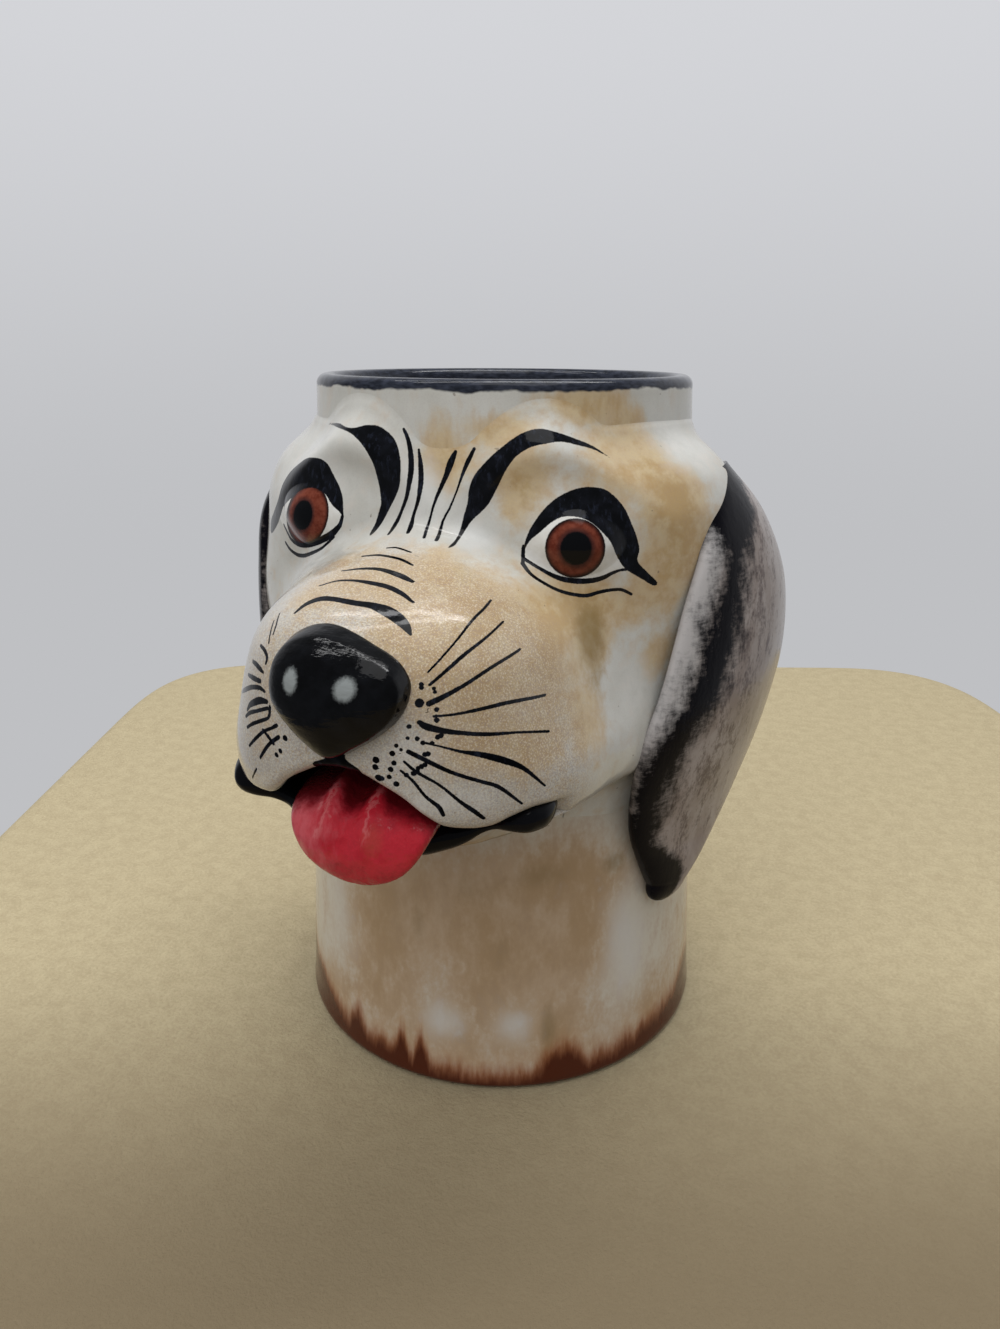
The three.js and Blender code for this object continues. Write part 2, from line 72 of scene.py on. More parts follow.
HEAD_SHARES = np.array([
    [-0.08, 0.70, 0.80], [0.00, 0.80, 0.90], [0.06, 0.865, 0.95], [0.12, 0.91, 0.975], [0.20, 0.93, 0.985],
    [0.40, 0.955, 0.99], [0.62, 0.985, 1.00], [0.80, 1.00, 0.99], [0.89, 0.96, 0.955],
    [0.95, 0.885, 0.91], [1.00, 0.775, 0.84], [1.05, 0.66, 0.75], [1.12, 0.55, 0.65],
])
MUZZLE_SHARES = np.array([
    [0.00, 0.55, 0.42], [0.07, 0.68, 0.57], [0.12, 0.92, 0.82], [0.16, 1.03, 0.935],
    [0.22, 1.05, 0.975], [0.28, 1.04, 0.99], [0.36, 0.99, 1.00], [0.46, 0.92, 1.00],
    [0.55, 0.85, 0.99], [0.605, 0.775, 0.965], [0.65, 0.68, 0.925], [0.685, 0.60, 0.86],
    [0.715, 0.51, 0.785], [0.74, 0.43, 0.71], [0.77, 0.34, 0.60], [0.82, 0.24, 0.44],
    [1.00, 0.14, 0.30],
])
LIP_SHARES = np.array([
    [0.00, 0.86], [0.10, 0.82], [0.20, 0.69], [0.286, 0.54], [0.379, 0.30], [0.464, 0.13], [0.546, 0.085],
    [0.60, 0.07], [0.66, 0.08], [0.76, 0.17], [0.87, 0.22], [0.95, 0.20], [1.00, 0.18],
])
# Lower lip and chin: degrees from the middle, top of the lip, foot of the lip, foot of the chin
JAW_LINE = np.array([
    [0.0, 74.0, 67.6, 60.0], [8.5, 74.0, 67.8, 60.4], [13.2, 74.2, 69.7, 61.2], [15.4, 74.5, 71.2, 61.8],
    [17.3, 75.2, 73.2, 62.4], [19.3, 76.8, 74.7, 63.0], [21.8, 78.6, 74.6, 63.8], [24.3, 79.4, 74.2, 64.6],
    [26.6, 79.4, 74.2, 65.4], [28.2, 79.0, 75.9, 66.0], [36.0, 79.0, 76.6, 64.0],
])
EAR_FRONT = np.array([
    [0.74, -0.40, 0.00], [0.772, -0.72, 0.13], [0.742, -0.885, 0.26], [0.702, -1.035, 0.43],
    [0.648, -1.16, 0.59], [0.624, -1.075, 0.76], [0.655, -0.88, 0.90], [0.69, -0.72, 1.00],
])
EAR_BACK = np.array([
    [0.66, 0.42, 0.02], [0.83, 0.68, 0.13], [0.93, 0.83, 0.26], [0.965, 0.84, 0.43],
    [0.94, 0.66, 0.60], [0.875, 0.26, 0.77], [0.80, -0.28, 0.91], [0.735, -0.70, 1.00],
])
TONGUE_LINE = np.array([[0.00, 0.00], [0.45, 0.00], [0.78, 0.02], [0.95, 0.22], [1.00, 0.57], [0.99, 1.00]])
HANDLE_LINE = np.array([[0.35, 0.00], [0.85, 0.13], [1.00, 0.42], [0.80, 0.73], [0.40, 0.94]])

# Close-ups of the photograph as (left, top, enlargement), in which the points below were picked, then
# the photograph's middle and its focal length in its pixels
MUZZLE_VIEW, FOREHEAD_VIEW = (380, 600, 5.6), (240, 400, 6.03)
NEAR_EYE_VIEW, FAR_MUZZLE_VIEW = (440, 400, 5.227), (230, 580, 4.9)
MIDDLE, FOCAL, PHOTO_HEIGHT = (500, 664.5), 960, 1329
# Brush strokes as (across, down, half width) in a close-up, or with no close-up as (degrees round the
# cup, height, half width) on the head
LINES = [
    # whiskers of the dog's left side
    (MUZZLE_VIEW, [
        [(268, 405, 2), (430, 225, 2.5), (520, 110, 4), (590, 40, 4), (622, 0, 3)],
        [(278, 475, 4), (400, 370, 6), (480, 300, 6), (600, 205, 3.5), (690, 120, 2.5)],
        [(275, 580, 12), (340, 550, 10), (450, 490, 7), (620, 380, 5.5), (785, 275, 4)],
        [(300, 652, 3), (420, 640, 3.5), (560, 612, 6), (700, 578, 7), (925, 532, 4)],
        [
            (222, 685, 8), (245, 703, 14), (340, 730, 12), (460, 745, 8), (600, 752, 7), (760, 742, 3.5),
            (945, 735, 4),
        ],
        [
            (240, 797, 3), (345, 822, 2), (460, 850, 5), (560, 865, 11), (700, 900, 14), (800, 940, 9),
            (925, 1040, 2.5),
        ],
        [(160, 850, 9), (260, 900, 9), (400, 965, 7), (560, 1015, 6.5), (660, 1045, 7), (795, 1140, 3)],
        [(135, 905, 3.5), (200, 960, 5.5), (330, 1035, 4), (450, 1130, 6), (530, 1185, 9), (580, 1222, 6)],
        [(118, 957, 4), (180, 1010, 5), (260, 1105, 5.5), (330, 1160, 9), (355, 1205, 7)],
    ]),
    # lines between the brows, then bars across the bridge
    (FOREHEAD_VIEW, [
        [
            (985, 175, 4), (1010, 230, 7), (1030, 330, 11), (1030, 440, 12), (1010, 560, 9),
            (970, 680, 6.5), (930, 760, 10), (895, 810, 5),
        ],
        [
            (1078, 300, 3), (1090, 400, 10), (1090, 500, 11), (1075, 600, 8), (1045, 700, 6),
            (1030, 760, 11), (1012, 800, 7),
        ],
        [
            (1298, 315, 8), (1270, 380, 16), (1245, 450, 12), (1215, 520, 9), (1180, 600, 5),
            (1150, 700, 3.5), (1125, 780, 6), (1110, 830, 6),
        ],
        [
            (1412, 295, 6), (1375, 370, 11), (1345, 440, 7), (1310, 540, 2.5), (1270, 640, 2.5),
            (1220, 740, 4), (1185, 845, 8),
        ],
        [(888, 892, 4), (940, 890, 4.5), (1030, 918, 3.5)],
        [(740, 942, 5), (830, 935, 8), (920, 948, 8), (980, 965, 7.5), (1040, 995, 5)],
        [
            (615, 1030, 3), (720, 1018, 8), (820, 1018, 11), (900, 1035, 15), (980, 1065, 17),
            (1040, 1095, 9),
        ],
        [
            (480, 1120, 3), (580, 1092, 5), (680, 1088, 7), (800, 1105, 14), (900, 1130, 15),
            (980, 1170, 12), (1045, 1220, 5),
        ],
        [
            (332, 1283, 6), (400, 1230, 16), (480, 1200, 19), (560, 1200, 16), (700, 1225, 18),
            (800, 1240, 22), (880, 1270, 33), (950, 1315, 32), (1000, 1365, 22), (1030, 1415, 4),
        ],
    ]),
    # lines under the dog's left eye
    (NEAR_EYE_VIEW, [
        [
            (440, 830, 5), (520, 880, 6), (620, 930, 9), (700, 945, 10), (780, 945, 10), (850, 930, 9),
            (900, 905, 6), (940, 890, 4), (975, 885, 4),
        ],
        [
            (432, 855, 8), (470, 905, 7), (540, 955, 6), (620, 995, 6), (690, 1015, 6), (770, 1022, 6),
            (830, 1005, 6), (900, 992, 5), (950, 992, 5), (1000, 1015, 4),
        ],
        [(437, 765, 6), (434, 810, 6), (434, 860, 6)],
    ]),
    # lines under the dog's right eye
    (None, [
        [
            (-45.6, 118.4, 0.2), (-43.7, 117.1, 0.24), (-42.1, 116.0, 0.27), (-38.9, 115.3, 0.3),
            (-35.9, 115.5, 0.35), (-32.3, 116.3, 0.42), (-29.2, 117.4, 0.52), (-26.6, 118.5, 0.52),
            (-24.9, 119.6, 0.42), (-23.5, 120.9, 0.3), (-22.9, 122.5, 0.2),
        ],
        [
            (-45.7, 114.7, 0.2), (-43.5, 113.6, 0.24), (-40.1, 113.0, 0.26), (-36.1, 113.4, 0.26),
            (-31.8, 114.6, 0.26), (-28.7, 115.8, 0.24), (-26.9, 117.1, 0.2), (-25.4, 118.3, 0.16),
        ],
    ]),
    # whiskers of the dog's right side
    (FAR_MUZZLE_VIEW, [
        [(243, 165, 2), (225, 225, 3), (212, 265, 2)],
        [(215, 200, 2), (200, 250, 3), (190, 310, 2)],
        [(150, 320, 4), (170, 345, 6), (182, 380, 6), (176, 408, 5)],
        [(112, 398, 5), (130, 415, 9), (150, 438, 8), (162, 452, 4)],
        [(90, 463, 5), (115, 480, 9), (148, 496, 8)],
        [(60, 547, 6), (80, 535, 9), (110, 525, 8), (150, 530, 7), (170, 547, 4)],
        [(85, 636, 5), (98, 612, 10), (122, 598, 13), (150, 590, 13), (180, 596, 8)],
        [(78, 668, 5), (95, 652, 7), (130, 642, 6), (185, 628, 6)],
        [(85, 722, 5), (110, 705, 6), (150, 690, 6), (190, 672, 5), (195, 622, 7)],
        [(95, 812, 4), (130, 772, 6), (165, 742, 6), (205, 725, 5), (228, 712, 7)],
        [(148, 872, 4), (166, 840, 6), (196, 800, 6), (238, 770, 8)],
        [(162, 735, 5), (185, 765, 6), (212, 800, 7)],
        [(110, 970, 2), (130, 925, 3)],
    ]),
]
# Dots as (across, down, radius)
DOTS = [
    (FAR_MUZZLE_VIEW, [
        (715, 882, 13), (712, 917, 11), (728, 970, 14), (745, 972, 9), (795, 850, 10), (803, 897, 9),
        (787, 928, 10), (780, 965, 9), (815, 1000, 11), (838, 832, 5), (815, 812, 7), (870, 775, 6),
        (917, 778, 8), (877, 718, 8), (938, 512, 8), (938, 527, 8), (999, 532, 6), (1004, 548, 6),
        (928, 603, 17), (1013, 635, 8), (1013, 687, 9), (1010, 668, 5), (1018, 770, 9), (1034, 762, 9),
        (955, 855, 9), (970, 852, 9), (945, 798, 8), (990, 800, 8), (928, 698, 8), (955, 906, 9),
        (938, 914, 9), (922, 922, 8), (917, 938, 9), (900, 948, 10), (864, 956, 9), (848, 966, 8),
        (862, 898, 7), (876, 910, 7), (270, 775, 11), (247, 838, 9), (228, 857, 9), (188, 768, 8),
    ]),
]
STROKE_WEIGHT, STROKE_EXTRA, STROKE_SETS = 1.15, 0.12, 7
# Filled shapes as (across, down) in a close-up, on a surface so far above the head, or as (degrees, height)
BLOBS = {
    "brow_l": (NEAR_EYE_VIEW, 0, [
        (890, 302), (800, 240), (690, 195), (600, 165), (520, 150), (430, 172), (330, 240), (240, 320),
        (175, 400), (150, 470), (145, 530), (120, 620), (80, 730), (40, 772), (75, 762), (97, 735),
        (160, 640), (250, 550), (300, 460), (350, 360), (400, 295), (470, 250), (560, 228), (640, 220),
        (720, 237), (800, 258),
    ]),
    "lid_l": (NEAR_EYE_VIEW, 0.4, [
        (436, 800), (440, 760), (470, 680), (530, 590), (610, 515), (700, 470), (790, 455), (880, 475),
        (960, 550), (1010, 650), (1050, 780), (1040, 840), (1090, 900), (1147, 962), (1130, 974),
        (1060, 937), (970, 880), (930, 820), (900, 750), (850, 690), (790, 640), (710, 612), (640, 615),
        (590, 640), (530, 690), (470, 740),
    ]),
    "open_l": (NEAR_EYE_VIEW, 0.8, [
        (436, 800), (470, 740), (530, 690), (590, 640), (640, 605), (710, 600), (790, 630), (850, 680),
        (900, 740), (930, 810), (978, 884), (940, 890), (900, 905), (850, 930), (780, 945), (700, 945),
        (620, 930), (520, 880), (445, 830),
    ]),
    "brow_r": (FOREHEAD_VIEW, 0, [
        (528, 143), (600, 140), (650, 165), (700, 165), (760, 150), (830, 155), (890, 190), (935, 240),
        (960, 310), (970, 400), (965, 500), (940, 580), (900, 660), (850, 750), (788, 817), (785, 800),
        (830, 700), (850, 620), (845, 560), (825, 460), (800, 380), (750, 290), (690, 220), (640, 187),
        (580, 162),
    ]),
    "lid_r": (None, 0, [
        (-58.0, 117.0), (-54.1, 119.8), (-48.6, 123.8), (-48.1, 126.5), (-46.3, 128.8), (-42.5, 130.8),
        (-38.3, 132.3), (-34.0, 132.8), (-30.6, 132.7), (-28.5, 131.8), (-27.5, 130.5), (-26.3, 129.3),
        (-24.6, 127.7), (-23.3, 125.9), (-22.8, 124.3), (-22.6, 122.3), (-23.8, 123.2), (-25.5, 124.1),
        (-26.8, 125.0), (-28.3, 126.1), (-30.4, 126.8), (-32.9, 127.1), (-35.8, 126.7), (-38.0, 125.9),
        (-39.5, 124.9), (-41.9, 123.8), (-44.8, 122.3), (-47.8, 119.8), (-51.5, 117.2), (-57.0, 115.0),
    ]),
    "open_r": (None, 0, [
        (-48.2, 119.6), (-44.8, 123.0), (-41.9, 124.7), (-39.5, 125.9), (-38.0, 127.0), (-35.8, 127.8),
        (-32.9, 128.2), (-30.4, 127.9), (-28.3, 127.1), (-26.8, 125.8), (-25.5, 124.8), (-23.8, 123.6),
        (-22.6, 122.4), (-23.5, 120.7), (-24.9, 119.4), (-26.6, 118.3), (-29.2, 117.2), (-32.3, 116.1),
        (-35.9, 115.3), (-38.9, 115.1), (-42.1, 115.8), (-44.4, 117.3),
    ]),
    "nose": (None, 0, [
        (-8.1, 101.58), (-8.16, 104.38), (-7.85, 107.0), (-6.78, 109.2), (-4.93, 110.55), (-2.82, 111.1),
        (-0.7, 110.95), (1.0, 110.5), (2.7, 109.9), (4.6, 109.01), (6.4, 108.04), (7.9, 106.79),
        (8.8, 105.44), (9.35, 103.89), (9.3, 101.87), (8.8, 99.8), (7.8, 97.7), (6.4, 95.9), (4.8, 94.2),
        (3.1, 92.7), (1.6, 91.4), (0.0, 90.7), (-1.32, 91.3), (-2.55, 92.5), (-3.96, 94.0), (-5.28, 95.7),
        (-6.6, 97.6), (-7.66, 99.6),
    ]),
    "philtrum": (None, 0, [
        (-2.2, 93.4), (2.2, 93.4), (1.45, 91.6), (1.4, 90.5), (3.1, 88.8), (3.0, 86.5), (-3.0, 86.5),
        (-3.3, 88.6), (-1.3, 90.2), (-1.35, 91.6),
    ]),
}
# Colour patches as (degrees, height, half width, half height, strength)
TAN_PATCHES = [
    # the patches at 25.5 and 22 degrees under the dog's left brow are tan paint deepened into painted shade
    # of the hollow between brow and eye
    (3.7, 132.9, 5.5, 6.5, 1.0), (18.5, 139.4, 7, 2.6, 0.9), (25.5, 131.5, 6, 5.5, 0.9),
    (22, 126, 3.5, 5, 0.6),
    (41, 143.6, 8.5, 2.8, 1.0), (52, 134, 9, 7, 0.95), (60, 127, 7.5, 6, 0.95), (62, 119, 6.5, 6, 0.8),
    (57.5, 114, 7.5, 8, 0.85), (50, 107, 6, 5, 0.5), (31, 108.5, 8, 4.5, 1.0),
    (37, 109.5, 7, 4, 0.8), (38, 103, 5, 6, 0.9), (57.3, 96.7, 7, 5.5, 0.75), (34.7, 90, 4, 7, 0.7),
    (7, 117, 9, 3, 0.9), (14, 111, 8, 4, 0.9), (18, 102, 8, 6, 0.85), (25, 104, 6, 6, 0.8),
    (18, 93, 7, 5, 0.6), (25, 90, 6, 6, 0.65), (11, 107, 5, 4, 0.75), (-5, 116.5, 6, 2.5, 0.6),
    (-7, 113.5, 7, 2.5, 0.5), (-9, 99, 4, 9, 0.35), (54, 139.5, 7, 3.5, 0.7),
    (25, 50, 24, 9, 0.95), (5, 42, 22, 13, 0.95), (-14, 34, 14, 17, 0.85), (22, 30, 20, 14, 0.95),
    (38, 36, 10, 16, 0.9), (-10, 18, 12, 10, 0.8), (36, 16, 10, 9, 0.8), (66, 12, 12, 7, 0.8),
    (-34, 12, 8, 8, 0.8), (13, 10, 16, 7, 0.8),
    (-95, 34, 20, 16, 0.8), (-140, 100, 18, 14, 0.8), (-120, 60, 14, 12, 0.6), (150, 118, 16, 10, 0.8),
    (128, 70, 18, 16, 0.75), (165, 40, 20, 14, 0.8), (100, 20, 18, 10, 0.6), (-165, 22, 20, 10, 0.6),
    (-75, 128, 10, 9, 0.5), (-78, 100, 8, 14, 0.5), (85, 118, 9, 10, 0.4), (-160, 136, 12, 6, 0.6),
]
OLIVE_PATCHES = [
    # the olive patch at 26 degrees is painted shade in the hollow under the dog's left brow
    (37.6, 104, 3.4, 5.5, 0.9), (38.5, 97, 2.6, 4, 0.5), (26, 128.5, 3.5, 4.5, 0.35), (-2, 38, 2.2, 5, 0.5),
    (32.6, 14, 1.9, 7, 0.65), (51.4, 51, 3, 2.5, 0.8), (12, 48, 6, 4, 0.4), (30, 51, 8, 3, 0.5),
    (20, 35, 3, 8, 0.35), (150, 60, 8, 10, 0.5), (-130, 90, 6, 8, 0.5),
]
WHITE_PATCHES = [
    (50, 92, 6, 8, 0.6), (12, 83.5, 9, 4, 0.6), (-34, 130, 16, 12, 0.6), (14, 121, 5, 3, 0.7),
    (-1, 128, 5.5, 7, 0.75), (10, 125, 4, 4, 0.6), (56, 31, 6.0, 13, 0.9), (-31.5, 32, 5, 11, 0.6),
    (4.4, 16.4, 5, 4.4, 0.9), (23.4, 16.3, 4, 4.4, 0.9), (8, 93, 5, 5, 0.5), (70, 136, 10, 7, 0.6),
]
# Where the brown of the foot climbs: degrees, half width, strength
FOOT_SPIKES = [
    (-46, 8, 1.8), (-36, 6, 0.9), (-22.6, 2.3, 1.3), (-7.2, 1.2, 1.5), (-1.5, 1.2, 1.6), (-13, 6, 0.5),
    (36, 3.5, 1.1), (40, 2, 0.8), (72, 14, 0.8), (92, 9, 2.0), (115, 4, 2.0), (140, 8, 1.2), (170, 3, 2.2),
    (-160, 6, 2.0), (-130, 4, 1.4), (-100, 10, 2.4), (-70, 8, 1.8), (-55, 3, 2.6),
]
# Iris for the dog's left and right: degrees, height, half width, half height, slant, then the pupil's
# offset, half width and half height; SIGHT is the place from which the photograph's eyes were measured
IRISES = [(35.3, 119.3, 5.35, 5.3, 0.0, 0.15, 3.0, 3.2), (-33.3, 121.9, 4.05, 5.9, 0.14, -0.8, 1.95, 3.1)]
SIGHT = np.array([74.05, -203.45, 154.3])
# White spots on the nose: across, height, half width, half height
NOSE_SPOTS = [(-4.9, 104.2, 1.5, 2.1), (4.75, 104.1, 1.95, 1.9)]
# How far across the tongue its two folds lie, along which the painted shade stops short, and where the
# painted highlights on them lie
TONGUE_FOLDS, TONGUE_HIGHLIGHTS = (-4.0, 4.2), (-4.2, 4.0)

# The table top, in metres, and how far it and the camera are turned from the dog's front
TABLE_HALF_X, TABLE_HALF_Y, TABLE_CORNER, TABLE_FOLD, TABLE_DROP = 0.197, 0.30, 0.035, 0.008, 0.25
TABLE_MIDDLE = (0.028, -0.05)
VIEW_TURN = 20 * DEG


# Shared curves

def mix(a, b, t):
    return a + (b - a) * t


def ramp(low, high, at):
    t = np.clip((np.asarray(at, float) - low) / (high - low), 0, 1)
    return t * t * (3 - 2 * t)


def bell(x):
    return np.exp(-np.square(x))


def power(value, exponent):
    return np.sign(value) * np.abs(value) ** exponent


def around(steps):
    return np.linspace(0, 2 * math.pi, steps, endpoint=False)


def eased_table(table, at, column):
    """Smooth monotone curve through a table's rows."""
    x, y = table[:, 0], table[:, column]
    slope = np.diff(y) / np.diff(x)
    before, after = slope[:-1], slope[1:]
    same = before * after > 0
    bend = np.where(same, 2 * before * after / np.where(same, before + after, 1), 0)
    tangent = np.concatenate([slope[:1], bend, slope[-1:]])
    at = np.clip(at, x[0], x[-1])
    i = np.clip(np.searchsorted(x, at, side="left") - 1, 0, len(slope) - 1)
    span = x[i + 1] - x[i]
    t = (at - x[i]) / span
    arc = span * t * (1 - t) * ((1 - t) * tangent[i] - t * tangent[i + 1])
    return mix(y[i], y[i + 1], t * t * (3 - 2 * t)) + arc


def evened(at, values, reach, spread):
    """A finely sampled line with its bends evened out."""
    kernel = bell(np.arange(-reach, reach + 1) / spread)
    return at, np.convolve(np.pad(values, reach, mode="edge"), kernel / kernel.sum(), mode="valid")


def softened(table, column):
    at = np.linspace(-0.15, 1.15, 1301)
    return evened(at, eased_table(table, at, column), 60, 18)


def softened_lip(column):
    at = np.linspace(0, 36, 289)
    return evened(at, np.interp(at, JAW_LINE[:, 0], JAW_LINE[:, column]), 12, 7)


HEAD_W, HEAD_D = softened(HEAD_SHARES, 1), softened(HEAD_SHARES, 2)
MUZZLE_W, MUZZLE_D = softened(MUZZLE_SHARES, 1), softened(MUZZLE_SHARES, 2)
JAW_CURVES = [softened_lip(column) for column in (1, 2, 3)]


def smooth_max(a, b, blend):
    near = np.maximum(blend - np.abs(a - b), 0) / blend
    return np.maximum(a, b) + near * near * blend / 4


def superellipse(angle, half_width, depth, exponent):
    across = np.abs(np.sin(angle)) / half_width
    along = np.abs(np.cos(angle)) / depth
    return (across ** exponent + along ** exponent) ** (-1 / exponent)


def cup_radius(z):
    return mix(FOOT, RIM, np.asarray(z, float) / CUP_HEIGHT)


def relief(angle, z):
    offset = (np.abs(angle - BROW_SKEW) - BROW_ANGLE) / BROW_SPREAD
    crest = BROW_CREST - BROW_FALL * offset * offset
    brow = BROW_HEIGHT * bell(offset) * bell((z - crest) / BROW_BREADTH)
    across = (np.abs(angle - EYE_SKEW) - EYE_ANGLE) * DEPTH
    up = z - EYE_Z + np.sign(angle) * EYE_TILT
    return brow + MOUND * bell(np.hypot(across, up) / MOUND_SPREAD)


def head_radius(angle, z):
    share = (z - BOTTOM) / (TOP - BOTTOM)
    wide, deep = HALF_WIDTH * np.interp(share, *HEAD_W), DEPTH * np.interp(share, *HEAD_D)
    skull = superellipse(angle, wide, deep, 2.25)
    wide, deep = MUZZLE_HALF * np.interp(share, *MUZZLE_W), MUZZLE_REACH * np.interp(share, *MUZZLE_D)
    muzzle = superellipse(angle, wide, deep, 2.85)
    cup = cup_radius(z)
    head = mix(skull, cup - BLEND, ramp(FADE_ANGLE, FACE_ANGLE, np.abs(angle)))
    return smooth_max(smooth_max(head, muzzle, MUZZLE_BLEND), cup, BLEND) + relief(angle, z)


def lip_height(angle):
    far = 0.8 * bell((angle / DEG + 13.5) / 4)
    return LIP_LOW + LIP_ARCH * eased_table(LIP_SHARES, np.abs(angle) / CORNER, 1) + far


def beside_mouth(angle):
    return ramp(CORNER, CORNER + CORNER_STEP, np.abs(angle))


def polar(angle, z, radius):
    angle, z, radius = np.broadcast_arrays(angle, z, radius)
    return np.stack([radius * np.sin(angle), -radius * np.cos(angle), z], -1)


def unrolled(points):
    """The angle, height and radius of each point."""
    return np.arctan2(points[:, 0], -points[:, 1]), points[:, 2], np.hypot(points[:, 0], points[:, 1])


def viewpoint():
    """The place of the photograph's camera and its directions right, up and ahead."""
    far, high, pitch, turn, roll = 216.5, 154.3, 18.58 * DEG, -0.18 * DEG, 0.30 * DEG
    aside, away = math.sin(VIEW_TURN), math.cos(VIEW_TURN)
    ahead, right = np.array([-aside, away, 0]), np.array([away, aside, 0])
    ahead = ahead * math.cos(turn) + right * math.sin(turn)
    right = np.cross(ahead, [0, 0, 1])
    ahead = ahead * math.cos(pitch) - np.array([0, 0, math.sin(pitch)])
    up = np.cross(right, ahead)
    place = np.array([far * aside, -far * away, high])
    return (place, right * math.cos(roll) + up * math.sin(roll),
            up * math.cos(roll) - right * math.sin(roll), ahead)


def on_head(view, lift, points):
    """Where on the head the points of a close-up lie, as degrees, height and half width."""
    points = np.array(points, float)
    if view is None:
        return points
    left, top, scale = view
    across, down = left + points[:, 0] / scale - MIDDLE[0], top + points[:, 1] / scale - MIDDLE[1]
    place, right, up, ahead = viewpoint()
    way = FOCAL * ahead + across[:, None] * right - down[:, None] * up
    way /= np.linalg.norm(way, axis=1, keepdims=True)
    step = 0.25
    run = np.arange(100, 330, step)
    x, y, z = np.moveaxis(place + run[:, None] * way[:, None], -1, 0)
    gap = np.hypot(x, y) - head_radius(np.arctan2(x, -y), z) - lift
    first = np.argmax((gap[:, :-1] > 0) & (gap[:, 1:] <= 0), axis=1)
    before, after = np.take_along_axis(gap, first[:, None] + [0, 1], 1).T
    spots = place + (run[first] + step * before / (before - after))[:, None] * way
    angle, z, _ = unrolled(spots)
    widths = points[:, 2:] / scale * ((spots - place) @ ahead)[:, None] / FOCAL
    return np.column_stack([angle / DEG, z, widths])


def route(points, shares):
    """Places along a centripetal Catmull-Rom curve, the kind the solids use."""
    points = np.asarray(points, float)
    ends = np.vstack([2 * points[0] - points[1], points, 2 * points[-1] - points[-2]])
    at = np.clip(np.asarray(shares, float), 0, 1) * (len(points) - 1)
    i = np.minimum(at.astype(int), len(points) - 2)
    t = (at - i)[:, None]
    a, b, c, d = ends[i], ends[i + 1], ends[i + 2], ends[i + 3]
    gap = [np.sqrt(np.linalg.norm(q - p, axis=1))[:, None] for p, q in ((a, b), (b, c), (c, d))]
    m1 = ((b - a) / gap[0] - (c - a) / (gap[0] + gap[1]) + (c - b) / gap[1]) * gap[1]
    m2 = ((c - b) / gap[1] - (d - b) / (gap[1] + gap[2]) + (d - c) / gap[2]) * gap[1]
    return b + m1 * t + (3 * (c - b) - 2 * m1 - m2) * t ** 2 + (2 * (b - c) + m1 + m2) * t ** 3


def closed_curve(points, steps):
    """A closed smooth curve through the points, with that many places from each to the next."""
    points = np.asarray(points, float)
    wrapped = np.vstack([points[-2:], points, points[:2]])
    return route(wrapped, np.arange(2 * steps, (len(points) + 2) * steps) / (steps * (len(wrapped) - 1)))


def even_route(points, shares, fine=400):
    """The same, spaced evenly by length, with the direction of travel at each place."""
    line = route(points, np.linspace(0, 1, fine + 1))
    run = travelled(line)
    at = np.interp(np.asarray(shares) * run[-1], run, np.arange(fine + 1))
    low = np.minimum(at.astype(int), fine - 1)
    places = mix(line[low], line[low + 1], (at - low)[:, None])
    along = np.gradient(line, axis=0)
    along = mix(along[low], along[low + 1], (at - low)[:, None])
    return places, along / np.linalg.norm(along, axis=1)[:, None]


def travelled(line):
    """How far along a line each of its points lies."""
    return np.concatenate([[0], np.cumsum(np.linalg.norm(np.diff(line, axis=0), axis=1))])


# Meshes

pieces = {}


def grid_faces(rows, columns, wrap_rows=False):
    """Four-sided faces of a grid whose rows are closed, or with wrap_rows its columns."""
    r = np.arange(rows if wrap_rows else rows - 1)
    c = np.arange(columns - 1 if wrap_rows else columns)
    r, c = [v.ravel() for v in np.meshgrid(r, c, indexing="ij")]
    r2, c2 = (r + 1) % rows, (c + 1) % columns
    return np.stack([r * columns + c, r * columns + c2, r2 * columns + c2, r2 * columns + c], 1)


def make_piece(name, node, grid, fields=None, wrap_rows=False):
    """The piece that shows in place of a node, from a grid of points and what is kept on each point."""
    points, faces = grid.reshape(-1, 3), grid_faces(*grid.shape[:2], wrap_rows)
    mesh = bpy.data.meshes.new(name)
    mesh.vertices.add(len(points))
    mesh.vertices.foreach_set("co", (points * MM).astype(np.float32).ravel())
    mesh.loops.add(faces.size)
    mesh.loops.foreach_set("vertex_index", faces.astype(np.int32).ravel())
    mesh.polygons.add(len(faces))
    mesh.polygons.foreach_set("loop_start", np.arange(0, faces.size, 4, dtype=np.int32))
    mesh.update(calc_edges=True)
    for key, value in (fields(points) if fields else {}).items():
        kind, slot_name = ("FLOAT_VECTOR", "vector") if value.ndim == 2 else ("FLOAT", "value")
        mesh.attributes.new(key, kind, "POINT").data.foreach_set(slot_name, value.astype(np.float32).ravel())
    close_seams(mesh)
    piece = placed(name, mesh)
    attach(piece, "root")
    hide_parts(node)
    pieces[node] = piece


def placed(name, mesh):
    mesh.polygons.foreach_set("use_smooth", np.ones(len(mesh.polygons), bool))
    thing = bpy.data.objects.new(name, mesh)
    bpy.context.scene.collection.objects.link(thing)
    return thing


def close_seams(mesh):
    work = bmesh.new()
    work.from_mesh(mesh)
    bmesh.ops.remove_doubles(work, verts=work.verts, dist=2e-6)
    bmesh.ops.dissolve_degenerate(work, edges=work.edges, dist=1e-7)
    bmesh.ops.recalc_face_normals(work, faces=work.faces)
    work.to_mesh(mesh)
    work.free()


def capped(grid):
    """Closes both ends of a tube of rings by drawing each end ring to its middle."""
    shares = np.array([0.0, 0.35, 0.7, 0.92])[:, None, None]
    first, last = grid[0].mean(0), grid[-1].mean(0)
    return np.concatenate([mix(first, grid[0], shares), grid, mix(last, grid[-1], shares[::-1])])


# Paint, as numbers kept on each point

